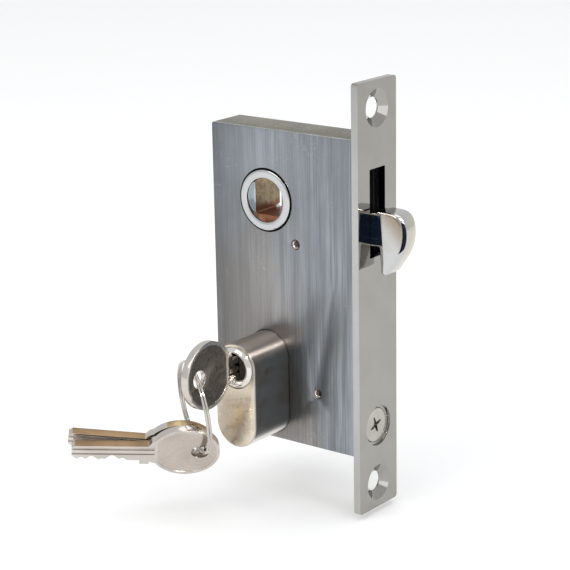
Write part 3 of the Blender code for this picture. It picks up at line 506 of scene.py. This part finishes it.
def turned(name, profile, axis, centre, segments=96):
    """(radius, height) points turned round the axis. A profile that starts off it closes on itself."""
    rings, points = [], []
    for radius, height in profile:
        first = len(points)
        if radius == 0:
            points.append(lifted(centre[0], centre[1], height, axis))
            rings.append([first] * segments)
            continue
        for k in range(segments):
            angle = 2 * math.pi * k / segments
            a, b = centre[0] + radius * math.cos(angle), centre[1] + radius * math.sin(angle)
            points.append(lifted(a, b, height, axis))
        rings.append(list(range(first, first + segments)))
    closed = profile[0][0] > 0
    faces = []
    for one, two in zip(rings, rings[1:] + rings[:1] if closed else rings[1:]):
        for k in range(segments):
            face = [one[k], one[(k + 1) % segments], two[(k + 1) % segments], two[k]]
            face = list(dict.fromkeys(face))
            if len(face) > 2:
                faces.append(face)
    return mesh_object(name, points, faces)


def rod(name, radius, axis, centre, low, high, segments=64):
    profile = [(0, low), (radius, low), (radius, high), (0, high)]
    return turned(name, profile, axis, centre, segments)


def arc(centre, radius, start, end, steps):
    turns = [math.radians(start + (end - start) * k / steps) for k in range(steps + 1)]
    return [(centre[0] + radius * math.cos(t), centre[1] + radius * math.sin(t)) for t in turns]


def rounded_rectangle(a, b, radius, steps=8):
    outline = []
    for x, y, start in (
        (a[1] - radius, b[0] + radius, -90),
        (a[1] - radius, b[1] - radius, 0),
        (a[0] + radius, b[1] - radius, 90),
        (a[0] + radius, b[0] + radius, 180),
    ):
        outline += arc((x, y), radius, start, start + 90, steps)
    return outline


def oval(radius, steps=48):
    return arc((AXIS_X, PLUG_Z), radius, 0, 180, steps) + arc(
        (AXIS_X, OVAL_LOW_Z), radius, 180, 360, steps
    )


def apply_modifiers(obj):
    graph = bpy.context.evaluated_depsgraph_get()
    mesh = bpy.data.meshes.new_from_object(obj.evaluated_get(graph), depsgraph=graph)
    obj.modifiers.clear()
    obj.data = mesh


def carve(obj, cutters, operation="DIFFERENCE"):
    """Cuts the cutters from obj, or joins them to it, and removes them. Cutters reach past the wall."""
    for cutter in cutters:
        modifier = obj.modifiers.new(cutter.name, "BOOLEAN")
        modifier.operation = operation
        modifier.solver = "EXACT"
        modifier.object = cutter
    bpy.context.view_layer.update()
    apply_modifiers(obj)
    for cutter in cutters:
        bpy.data.objects.remove(cutter, do_unlink=True)


def smooth_up_to(obj, angle):
    """Shades obj smooth, except at edges that bend more than angle degrees."""
    obj.data.shade_smooth()
    obj.data.set_sharp_from_angle(angle=math.radians(angle))


def soften(obj, width, segments=3, angle=32.0):
    """Rounds sharp edges and shades the result smooth."""
    modifier = obj.modifiers.new("edge", "BEVEL")
    modifier.width = width * MM
    modifier.segments = segments
    modifier.limit_method = "ANGLE"
    modifier.angle_limit = math.radians(angle)
    modifier.use_clamp_overlap = True
    modifier.miter_outer = "MITER_ARC"
    bpy.context.view_layer.update()
    apply_modifiers(obj)
    smooth_up_to(obj, 50)


def paint(obj, *names):
    """Gives obj these materials, in order."""
    obj.data.materials.clear()
    for name in names:
        obj.data.materials.append(MATS[name])


def choose(obj, rule):
    """Gives each face the material number that rule(centre, normal) returns. The centre is in millimetres."""
    for face in obj.data.polygons:
        face.material_index = rule(face.center / MM, face.normal)


def place(obj, body, slot, *nodes):
    """Hangs obj on its body's empty and hides the CAD nodes it stands for. The slot is not used."""
    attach(obj, body)
    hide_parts(*nodes)


# ---------------------------------------------------------------- lock case


def make_faceplate():
    across, up = PLATE_WIDTH / 2, PLATE_HEIGHT / 2
    outline = rounded_rectangle((-across, across), (-up, up), PLATE_CORNER_R, 6)
    plate = slab("faceplate_fine", outline, "X", 0, PLATE_THICK)
    sink = [
        (0, -1),
        (SINK_BOTTOM_R, -1),
        (SINK_BOTTOM_R, SINK_BOTTOM),
        (SINK_R, PLATE_THICK + 0.1),
        (SINK_R, 4),
        (0, 4),
    ]
    cutters = [
        turned(f"c_sink_{index}", sink, "X", (0, z), 96)
        for index, z in enumerate(SCREW_HOLES_Z)
    ]
    seat = [(0, -1), (2.8, -1), (2.8, -0.25), (6.5, 1.45), (6.85, 1.5), (7.05, 2.7)]
    seat += [(7.05, 4), (0, 4)]
    cutters.append(turned("c_seat", seat, "X", (0, FIXING_Z), 96))
    half = SLOT_WIDTH / 2
    slot = rounded_rectangle((-half, half), (SLOT_LOW, SLOT_HIGH), SLOT_CORNER_R, 4)
    cutters.append(slab("c_slot", slot, "X", -1, 4))
    carve(plate, cutters)
    soften(plate, PLATE_BEVEL, 4)
    paint(plate, "plate", "plate_edge")
    choose(plate, lambda c, n: 1 if abs(n.y) > 0.8 and abs(c.y) > 10 else 0)
    place(plate, "lock_case", "faceplate_chrome", "faceplate")


def case_cutters(low, high, tag):
    """What goes through a side of the case: the follower, the cylinder and two pins."""
    made = [
        rod(f"c_fol_{tag}", CASE_HOLE_R, "Y", (AXIS_X, FOLLOWER_Z), low, high, 96),
        slab(f"c_oval_{tag}", oval(OVAL_R + OVAL_CLEARANCE), "Y", low, high),
    ]
    for index, centre in enumerate((UPPER_PIN, LOWER_PIN)):
        made.append(rod(f"c_pin_{tag}_{index}", PIN_HOLE_R, "Y", centre, low, high, 32))
    return made


def make_tray(outline, inner):
    tray = slab("case_tray_fine", outline, "Y", -inner, CASE_HALF)
    hollow = box(
        "c_hollow",
        (CASE_REAR + CASE_WALL, -CASE_GAP - CASE_WALL),
        (-CASE_HALF, inner),
        (CASE_BOTTOM + CASE_WALL, CASE_TOP - CASE_WALL),
    )
    front_z = (SLOT_LOW - FRONT_MARGIN, SLOT_HIGH + FRONT_MARGIN)
    front = box("c_front", (-3, 1), (-FRONT_HALF, FRONT_HALF), front_z)
    carve(tray, [hollow, front, rod("c_screw", FIXING_CLEAR_R, "X", (0, FIXING_Z), -3, 1, 48)])
    carve(tray, case_cutters(inner - 1, CASE_HALF + 1, "t"))
    groove = oval(OVAL_R + OVAL_CLEARANCE)
    carve(tray, [slab("c_groove", groove, "Y", -CASE_HALF - 1, inner + GROOVE_MARGIN)])
    soften(tray, TRAY_BEVEL, 3)
    paint(tray, "case", "case_rim")
    choose(tray, lambda c, n: 0 if abs(n.y) > 0.7 else 1)
    place(tray, "lock_case", "case_steel", "case_tray")


def make_cover(outline, inner):
    cover = slab("case_cover_fine", outline, "Y", -CASE_HALF, -inner - CASE_GAP)
    carve(cover, case_cutters(-CASE_HALF - 1, -inner + 1, "c"))
    soften(cover, COVER_BEVEL, 3)
    paint(cover, "case", "case_rim", "burr_highlight")

    def finish_of(c, n):
        if abs(n.y) > 0.9:
            return 0
        # The burred front top edge takes the painted highlight.
        on_top_edge = c.y < -CASE_HALF + 0.3 and c.z > CASE_TOP - 0.7 and n.z > 0.3
        return 2 if on_top_edge else 1

    choose(cover, finish_of)
    place(cover, "lock_case", "case_steel", "case_cover")


def make_case_pin(name, centre):
    dish = [(0, 6.2), (0.7, 6.3), (1.1, 6.6), (1.35, 6.98), (1.5, 7.12), (1.62, 7.2)]
    profile = [(r, -h) for r, h in dish] + [(r, h) for r, h in dish[::-1]]
    pin = turned(name + "_fine", profile, "Y", centre, 48)
    paint(pin, "pin_end", "chrome", "copper")

    def finish_of(c, n):
        out = math.hypot(c.x - centre[0], c.z - centre[1])
        return sum(out > r for r in (PIN_DISH_R, PIN_RIM_R))

    choose(pin, finish_of)
    place(pin, "lock_case", "zinc_steel", name)


def make_guide():
    guide = box("hook_guide_fine", GUIDE_X, (-GUIDE_HALF, GUIDE_HALF), GUIDE_Z)
    opening = (-GUIDE_OPENING_HALF, GUIDE_OPENING_HALF)
    carve(guide, [box("c_guide", (-7, 0), opening, GUIDE_OPENING_Z)])
    soften(guide, GUIDE_BEVEL, 2)
    paint(guide, "black")
    place(guide, "lock_case", "guide_black", "hook_guide")


def make_cylinder_screw():
    head = [(0, 1.45), (4.2, 1.58), (5.4, 1.66), (5.9, 1.62), (6.1, 1.48)]
    shank = [(2.4, -0.1), (2.4, -43.0), (1.8, -43.5), (0, -43.5)]
    screw = turned("cylinder_screw_fine", head + shank, "X", (0, FIXING_Z), 96)
    lower_side = [(-3.0, -0.3), (-1.1, -0.62), (1.1, -0.62), (3.0, -0.3)]
    upper_side = [(3.0, 0.3), (1.1, 0.62), (-1.1, 0.62), (-3.0, 0.3)]
    cutters = []
    for index, turn in enumerate((SCREW_TURN, SCREW_TURN + 90)):
        forth = Vector((math.cos(math.radians(turn)), math.sin(math.radians(turn))))
        across = Vector((-forth.y, forth.x))
        shape = [
            tuple(Vector((0, FIXING_Z)) + forth * a + across * b)
            for a, b in lower_side + upper_side
        ]
        cutters.append(slab(f"c_cross_{index}", shape, "X", 0.1, 3))
    carve(screw, cutters)
    soften(screw, SCREW_BEVEL, 2, 40)
    paint(screw, "screw")
    place(screw, "lock_case", "cylinder_nickel", "cylinder_screw")


def make_case():
    outline = rounded_rectangle(
        (CASE_REAR, -CASE_GAP), (CASE_BOTTOM, CASE_TOP), CASE_CORNER_R, 4
    )
    inner = CASE_HALF - CASE_WALL
    make_tray(outline, inner)
    make_cover(outline, inner)
    make_case_pin("case_pin_upper", UPPER_PIN)
    make_case_pin("case_pin_lower", LOWER_PIN)
    make_guide()
    make_cylinder_screw()


# ---------------------------------------------------------------- hook bolt


def spline(points, steps):
    """Open Catmull-Rom curve through (x, z, rounding) points."""
    found = []
    last = len(points) - 1
    for i in range(last):
        a, b = points[max(i - 1, 0)], points[i]
        c, d = points[i + 1], points[min(i + 2, last)]

        def value(j, t):
            linear = (c[j] - a[j]) * t
            square = (2 * a[j] - 5 * b[j] + 4 * c[j] - d[j]) * t * t
            cube = (3 * b[j] - a[j] - 3 * c[j] + d[j]) * t**3
            return 0.5 * (2 * b[j] + linear + square + cube)

        found += [tuple(value(j, k / steps) for j in range(3)) for k in range(steps)]
    found.append(points[-1])
    return found


def make_hook():
    # Each entry of the outline: x, z and the rounding of the rims there.
    nose = [
        (6.9, 11.0, 0.4),
        (7.7, 10.2, 0.5),
        (8.7, 10.3, 0.8),
        (10.2, 11.9, 1.5),
        (12.6, 14.9, 2.3),
        (14.7, 18.0, 2.8),
        (16.0, 21.0, 3.1),
        (16.5, 24.0, 3.2),
        (16.3, 27.0, 3.1),
        (15.4, 29.3, 2.7),
        (13.9, 30.8, 2.1),
        (11.5, 31.5, 1.3),
        (8.0, 31.6, 0.9),
        (5.7, 31.4, 0.5),
        (5.3, 30.9, 0.4),
    ]
    entries = spline(nose, 5)
    back = [(0.5, 30.8), (-2.5, 29.0), (-5.0, 25.0), (-7.0, 20.0)]
    entries += spline([(*p, HOOK_RIM) for p in back], 4)
    entries += [(*p, HOOK_RIM) for p in arc(HOOK_PIVOT, HOOK_EYE_R, 100, 128, 6)]
    turn = math.radians(TAIL_ANGLE)
    tip = (HOOK_PIVOT[0] + TAIL_R * math.cos(turn), HOOK_PIVOT[1] + TAIL_R * math.sin(turn))
    tail = arc(tip, TAIL_TIP_R, TAIL_ANGLE - 90, TAIL_ANGLE + 90, 16)
    entries += [(*p, TAIL_RIM) for p in tail]
    entries += [(*p, HOOK_RIM) for p in arc(HOOK_PIVOT, HOOK_EYE_R, 172, 352, 30)]
    throat = [(-3.5, 15.6, HOOK_RIM), (-0.5, 18.6, HOOK_RIM), (3.0, 19.5, HOOK_RIM)]
    entries += spline(throat + [(6.0, 19.7, 0.4)], 4)
    entries += [(6.35, 18.9, 0.4)]
    outline = [(x, z) for x, z, rim in entries]
    rims = [max(rim, TAIL_RIM) for x, z, rim in entries]
    hook = slab("hook_bolt_fine", outline, "Y", -HOOK_HALF, HOOK_HALF, edges=rims, steps=8)
    carve(hook, [rod("c_eye", HOOK_BORE_R, "Y", HOOK_PIVOT, -6, 6, 48)])
    smooth_up_to(hook, 38)
    paint(hook, "hook")
    place(hook, "hook", "hook_steel", "hook_bolt")


# ---------------------------------------------------------------- follower


def from_follower(c):
    """How far a place is from the follower's axis."""
    return math.hypot(c.x - AXIS_X, c.z - FOLLOWER_Z)


def make_follower():
    centre = (AXIS_X, FOLLOWER_Z)
    for name, side in (("follower_ring_near", -1), ("follower_ring_far", 1)):
        profile = [
            (RING_INNER_R + 0.35, 7.8),
            (RING_OUTER_R - 0.9, 7.8),
            (RING_OUTER_R - 0.55, 7.74),
            (RING_OUTER_R - 0.28, 7.58),
            (RING_OUTER_R - 0.2, 7.35),
            (RING_OUTER_R - 0.2, 5.75),
            (RING_INNER_R, 5.75),
            (RING_INNER_R, 7.45),
            (RING_INNER_R + 0.1, 7.7),
        ]
        ring = turned(name + "_fine", [(r, side * h) for r, h in profile], "Y", centre, 128)
        paint(ring, "chrome", "recess")
        choose(ring, lambda c, n: 1 if from_follower(c) < RING_INNER_R + 0.15 else 0)
        place(ring, "follower", "polished_chrome", name)
    hub = rod("follower_hub_fine", HUB_R, "Y", centre, -HUB_HALF, HUB_HALF, 96)
    start = math.radians(ARM_ANGLE)
    forth = Vector((math.cos(start), math.sin(start)))
    tip = Vector(centre) + forth * ARM_LENGTH
    arm = arc(tuple(tip), ARM_R, ARM_ANGLE - 90, ARM_ANGLE + 90, 16)
    for end in (arm[-1], arm[0]):
        arm.append((end[0] - forth.x * ARM_ROOT, end[1] - forth.y * ARM_ROOT))
    carve(hub, [slab("j_arm", arm, "Y", -ARM_HALF, ARM_HALF)], "UNION")
    carve(hub, [rod("j_boss", BOSS_R, "Y", centre, *BOSS_Y, 96)], "UNION")
    square = rounded_rectangle(
        (AXIS_X - SQUARE_HALF, AXIS_X + SQUARE_HALF),
        (FOLLOWER_Z - SQUARE_HALF, FOLLOWER_Z + SQUARE_HALF),
        SQUARE_CORNER_R,
        5,
    )
    carve(hub, [slab("c_square", square, "Y", -9, 9)])
    soften(hub, HUB_BEVEL, 2)
    paint(hub, "chrome", "socket")
    choose(hub, lambda c, n: 1 if from_follower(c) < HUB_R - 0.2 else 0)
    place(hub, "follower", "polished_chrome", "follower_hub")


# ---------------------------------------------------------------- cylinder


def pin_chambers(tag, low, high):
    """Cutters for the row of pins."""
    return [
        rod(f"{tag}_{k}", CHAMBER_R, "Z", (AXIS_X, FIRST_PIN_Y + PIN_PITCH * k), low, high, 24)
        for k in range(PIN_COUNT)
    ]


def make_cylinder_body():
    body = slab(
        "cylinder_body_fine", oval(OVAL_R), "Y", -OVAL_HALF, OVAL_HALF, edge=OVAL_EDGE, steps=5
    )
    seat_y = OVAL_HALF - COLLAR_SEAT_DEPTH
    bore = [
        (0, -30),
        (COLLAR_SEAT_R, -30),
        (COLLAR_SEAT_R, -seat_y),
        (BORE_R, -seat_y),
        (BORE_R, seat_y),
        (COLLAR_SEAT_R, seat_y),
        (COLLAR_SEAT_R, 30),
        (0, 30),
    ]
    cam_x = (AXIS_X - CAM_REACH, AXIS_X + CAM_REACH)
    cam_z = (CAM_SLOT_BOTTOM, PLUG_Z + CAM_REACH)
    cutters = [
        turned("c_bore", bore, "Y", (AXIS_X, PLUG_Z), 96),
        box("c_cam", cam_x, (-CAM_SLOT_HALF, CAM_SLOT_HALF), cam_z),
        rod("c_thread", THREAD_R, "X", (0, FIXING_Z), -60, 0, 32),
    ]
    carve(body, cutters + pin_chambers("c_chamber", -56, PLUG_Z - 4))
    smooth_up_to(body, 25)
    paint(body, "nickel", "nickel_face")
    choose(body, lambda c, n: 1 if abs(n.y) > 0.9 else 0)
    place(body, "lock_case", "cylinder_nickel", "cylinder_body")


def make_plug(name, side, owner):
    """A plug with its polished collar: side is -1 for the near end and 1 for the far one."""
    profile = [
        (0, 25.5),
        (4.3, 25.5),
        (4.6, 25.6),
        (5.55, 27.15),
        (5.75, 27.28),
        (6.05, 27.3),
        (6.3, 27.22),
        (7.3, 26.2),
        (7.4, 26.0),
        (7.4, 25.1),
        (6.4, 25.1),
        (6.4, 4.7),
        (5.5, 4.6),
        (5.5, 3.75),
        (0, 3.75),
    ]
    centre = (AXIS_X, PLUG_Z)
    plug = turned(name + "_fine", [(r, side * h) for r, h in profile], "Y", centre, 96)
    wide = KEY_THICK / 2 + KEYWAY_GAP
    top, bottom = BOW_Z + KEYWAY_ABOVE, BOW_Z - KEYWAY_BELOW
    shape = [
        (AXIS_X - wide, bottom),
        (AXIS_X + wide, bottom),
        (AXIS_X + wide, top),
        (AXIS_X - wide, top),
    ]
    low, high = sorted((side * 3.0, side * 30.0))
    carve(plug, [slab("c_keyway", shape, "Y", low, high)])
    if side < 0:
        carve(plug, pin_chambers("c_pc", PLUG_Z - 8, BOW_Z - 2.9))
    smooth_up_to(plug, 32)
    paint(plug, "collar", "dark")

    # Painted shade: the dish round the keyway's mouth is dark.
    def finish_of(c, n):
        in_mouth = abs(c.y) < 25.7 and math.hypot(c.x - AXIS_X, c.z - PLUG_Z) < 4.5
        return 1 if in_mouth else 0

    choose(plug, finish_of)
    place(plug, owner, "cylinder_nickel", name)


# ---------------------------------------------------------------- keys


def key_shape(end):
    """Outline of a key whose blade ends at end; a longer key has the same cuts further out."""
    longer = end - BLADE_END
    neck = math.degrees(math.asin(NECK_HALF / BOW_R))
    outline = arc((0, 0), BOW_R, neck, 360 - neck, 96)
    outline += [(SHOULDER_START, drop) for drop in SHOULDER_DROPS]
    outline += [(SHOULDER_END + longer, b) for b in (SHOULDER_DROPS[1], BLADE_BOTTOM)]
    for k, depth in enumerate(CUT_DEPTHS):
        cut = FIRST_PIN_Y + PIN_PITCH * k - BOW_Y + longer
        outline += [
            (cut - CUT_HALF - depth, BLADE_BOTTOM),
            (cut - CUT_HALF, BLADE_BOTTOM + depth),
            (cut + CUT_HALF, BLADE_BOTTOM + depth),
            (cut + CUT_HALF + depth, BLADE_BOTTOM),
        ]
    outline += [(end - TIP_BELOW, BLADE_BOTTOM), (end, BLADE_BOTTOM + TIP_BELOW)]
    outline += [(end, BLADE_TOP - TIP_ABOVE), (end - TIP_ABOVE, BLADE_TOP)]
    outline += [(12.65, BLADE_TOP), (12.05, 4.1), (11.45, 5.2)]
    # Where two cuts overlap, their slopes meet halfway instead of reaching the blade's edge.
    kept = []
    for point in outline:
        while kept and point[1] == BLADE_BOTTOM == kept[-1][1] and point[0] <= kept[-1][0]:
            last = kept.pop()
            before = kept[-1]
            middle = (last[0] + point[0]) / 2
            share = (middle - before[0]) / (last[0] - before[0])
            point = (middle, before[1] + (last[1] - before[1]) * share)
        kept.append(point)
    return kept


def make_key(node, body, spot, end, spine_brass, bow_brass):
    """A key made lying flat, then moved by spot(a, b, c), which says where each point goes."""
    half = KEY_THICK / 2
    key = slab(node + "_fine", key_shape(end), "Z", -half, half)
    hole = arc((-BOW_HOLE_OFFSET, 0), BOW_HOLE_R, 0, 354, 59)
    cutters = [slab("c_hole", hole, "Z", -4, 4)]
    for index, side in enumerate((1, -1)):
        field = arc((0, 0), FIELD_R, FIELD_CHORD_ANGLE, 360 - FIELD_CHORD_ANGLE, 96)
        low, high = sorted((side * (half - FIELD_DEPTH), side * 4))
        cutters.append(slab(f"c_field_{index}", field, "Z", low, high))
        for lane, (step, wide, deep) in enumerate(GROOVES):
            b, start, past = GROOVE_LOW[side] + step, GROOVE_FROM, end + 2
            groove = [(start, b), (past, b), (past, b + wide), (start, b + wide)]
            low, high = sorted((side * (half - deep), side * 4))
            cutters.append(slab(f"c_groove_{index}_{lane}", groove, "Z", low, high))
    carve(key, cutters)
    soften(key, KEY_BEVEL, 3, 28)
    paint(key, "key", "brass", "key_field" if spine_brass else "key_dark", "bow_brass")

    def finish_of(c, n):
        out = math.hypot(c.x, c.y)
        in_blade = c.x > BRASS_FROM
        if in_blade and c.y < 0 and abs(n.z) < 0.5 and abs(n.y) > 0.3:
            return 1
        if in_blade and spine_brass and n.y > 0.6 and c.y > BLADE_TOP - 0.3:
            return 1
        if bow_brass and out > BOW_R - 0.3 and c.x < 6 and c.y > 4 and abs(n.z) < 0.5:
            return 3
        if out < BOW_R and abs(n.z) > 0.9 and abs(c.z) < half - 0.2:
            return 2
        return 0

    choose(key, finish_of)
    for vertex in key.data.vertices:
        a, b, c = vertex.co / MM
        vertex.co = Vector(spot(a, b, c)) * MM
    key.data.update()
    # The move can mirror a key, and its faces then look inwards.
    face_outwards(key.data)
    place(key, body, "key_nickel", node)


def make_keys():
    def in_plug(a, b, c):
        return (AXIS_X - c, BOW_Y + a, BOW_Z + b)

    make_key("key_main", "keyed_plug", in_plug, BLADE_END, False, False)
    hold = math.radians(RING_HOLD)
    hang = Vector((AXIS_X, BOW_Y - BOW_HOLE_OFFSET + RING_RISE, BOW_Z - RING_DROP))
    centre = hang - RING_R * (math.cos(hold) * RING_DOWN + math.sin(hold) * RING_ACROSS)
    upright = SPARE_AXIS.cross(SPARE_NORMAL)
    rests = zip(SPARE_ANGLES, SPARE_TURNS, SPARE_DROPS, ("spare_a", "spare_b"))
    for number, (angle, lift, drop, body) in enumerate(rests, 1):
        turn = math.radians(angle)
        eye = centre + RING_R * (math.cos(turn) * RING_DOWN + math.sin(turn) * RING_ACROSS)
        raised = math.radians(lift)
        forth = math.cos(raised) * SPARE_AXIS + math.sin(raised) * upright
        across = math.cos(raised) * upright - math.sin(raised) * SPARE_AXIS
        bow = eye + forth * (BOW_HOLE_OFFSET + SPARE_SHIFT) - across * drop

        def on_ring(a, b, c):
            return tuple(bow + forth * a + across * b + SPARE_NORMAL * c)

        end = BLADE_END + SPARE_LONGER
        make_key(f"spare_key_{number}", body, on_ring, end, True, number == 2)
    make_ring(centre)


def make_ring(centre):
    """Two turns of wire, side by side, with a step where one passes into the other."""
    normal = RING_DOWN.cross(RING_ACROSS)
    points = []
    count = WIRE_STEPS * 2
    for k in range(count + 1):
        turns = k / WIRE_STEPS
        angle = 2 * math.pi * turns + math.radians(WIRE_START)
        ramp = min(1.0, max(0.0, (turns - STEP_FROM) / STEP_LENGTH))
        ramp = ramp * ramp * (3 - 2 * ramp)
        out = math.cos(angle) * RING_DOWN + math.sin(angle) * RING_ACROSS
        middle = centre + RING_R * out + normal * WIRE_PITCH * (ramp - 0.5)
        # Both ends of the wire are blunted over their last three steps.
        taper = min(1.0, 0.55 + 0.15 * min(k, count - k))
        for s in range(WIRE_SIDES):
            swing = 2 * math.pi * s / WIRE_SIDES
            offset = out * math.cos(swing) * WIRE_FLAT + normal * math.sin(swing)
            points.append(tuple(middle + offset * WIRE_R * taper))
    faces = [list(range(WIRE_SIDES))[::-1]]
    for k in range(count):
        for s in range(WIRE_SIDES):
            a = k * WIRE_SIDES + s
            b = k * WIRE_SIDES + (s + 1) % WIRE_SIDES
            faces.append([a, b, b + WIRE_SIDES, a + WIRE_SIDES])
    faces.append([count * WIRE_SIDES + s for s in range(WIRE_SIDES)])
    ring = mesh_object("key_ring_fine", points, faces, 60.0)
    paint(ring, "wire")
    place(ring, "ring", "key_nickel", "key_ring")


def dress_inner_nodes():
    """CAD pieces inside the case and cylinder keep their own meshes and take real metals."""
    finishes = {
        "hook_pivot_pin": "zinc",
        "slide_spring": "spring",
        "drive_slide": "zinc",
        "plug_clip_near": "spring",
        "plug_clip_far": "spring",
        "cam": "zinc",
        "clutch": "brass",
    }
    for k in range(1, PIN_COUNT + 1):
        finishes[f"key_pin_{k}"] = "brass"
        finishes[f"driver_pin_{k}"] = "zinc"
        finishes[f"pin_spring_{k}"] = "spring"
        finishes[f"chamber_plug_{k}"] = "brass"
    for name, finish in finishes.items():
        paint(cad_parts[name], finish)


# ---------------------------------------------------------------- studio


def staged_sheet(name, corners, color):
    """A flat piece of the studio, and its shader."""
    material = bpy.data.materials.new(name)
    material.use_nodes = True
    shader = material.node_tree.nodes["Principled BSDF"]
    shader.inputs["Base Color"].default_value = (*color, 1)
    mesh = bpy.data.meshes.new(name)
    mesh.from_pydata(corners, [], [(0, 1, 2, 3)])
    mesh.materials.append(material)
    sheet = bpy.data.objects.new(name, mesh)
    bpy.context.scene.collection.objects.link(sheet)
    return sheet, shader


def make_floor():
    """Lies just under the faceplate's lower end, and glows a little to stay pale to its rim."""
    size, level = FLOOR_HALF, -PLATE_HEIGHT / 2 * MM - FLOOR_DROP
    corners = [(-size, -size, level), (size, -size, level), (size, size, level), (-size, size, level)]
    plane, shader = staged_sheet("floor", corners, FLOOR_COLOR)
    shader.inputs["Roughness"].default_value = 0.9
    shader.inputs["Emission Color"].default_value = (1, 1, 1, 1)
    shader.inputs["Emission Strength"].default_value = FLOOR_GLOW


def make_dark_card():
    """Stands right in front of the hook. Only reflections show it: the dark almond on the nose."""
    wide, tall = CARD_WIDTH / 2 * MM, CARD_HEIGHT / 2 * MM
    corners = [(-wide, -tall, 0), (wide, -tall, 0), (wide, tall, 0), (-wide, tall, 0)]
    card, _ = staged_sheet("flag_right", corners, CARD_COLOR)
    card.location = Vector(CARD_PLACE) * MM
    aim = (Vector(CARD_AIM) - Vector(CARD_PLACE)) * MM
    card.rotation_euler = aim.to_track_quat("Z", "Y").to_euler()
    card.visible_camera = False
    card.visible_shadow = False
    card.visible_diffuse = False


def make_lamps():
    """The world's even light, and four area lamps that look at the lock."""
    world = bpy.data.worlds.new("studio")
    bpy.context.scene.world = world
    world.use_nodes = True
    back = world.node_tree.nodes["Background"]
    back.inputs["Color"].default_value = (*WORLD_COLOR, 1)
    back.inputs["Strength"].default_value = WORLD_LIGHT
    for name, (spot, size, power, color) in LAMPS.items():
        light = bpy.data.lights.new(name, "AREA")
        light.shape = "RECTANGLE"
        light.size, light.size_y = size
        light.energy = power
        light.color = color
        lamp = bpy.data.objects.new(name, light)
        bpy.context.scene.collection.objects.link(lamp)
        lamp.location = spot
        aim = LAMP_AIM - Vector(spot)
        lamp.rotation_euler = aim.to_track_quat("-Z", "Y").to_euler()
        # The strip shows in the metals, as a long highlight, and leaves the floor as it is.
        lamp.visible_diffuse = name != "strip_light"


def make_studio():
    make_floor()
    make_lamps()
    make_dark_card()
    bpy.context.scene.view_settings.view_transform = "Standard"


def make_camera():
    turn, rise = math.radians(CAMERA_TURN), math.radians(CAMERA_RISE)
    roll = math.radians(CAMERA_ROLL)
    level = math.cos(rise)
    back = Vector((math.sin(turn) * level, -math.cos(turn) * level, math.sin(rise)))
    spot = (Vector(CAMERA_AIM) + back * CAMERA_DISTANCE) * MM
    side = (-back).cross(Vector((0, 0, 1))).normalized()
    up = side.cross(-back)
    right = math.cos(roll) * side + math.sin(roll) * up
    top = -math.sin(roll) * side + math.cos(roll) * up
    data = bpy.data.cameras.new("camera")
    data.sensor_width = SENSOR_WIDTH
    data.lens = FOCAL_LENGTH
    data.clip_start = 0.01
    camera = bpy.data.objects.new("camera", data)
    bpy.context.scene.collection.objects.link(camera)
    turned_to = Matrix((right, top, back)).transposed().to_4x4()
    camera.matrix_world = Matrix.Translation(spot) @ turned_to
    bpy.context.scene.camera = camera


make_faceplate()
make_case()
make_hook()
make_follower()
make_cylinder_body()
make_plug("plug_near", -1, "keyed_plug")
make_plug("plug_far", 1, "lock_case")
make_keys()
dress_inner_nodes()
make_studio()
make_camera()
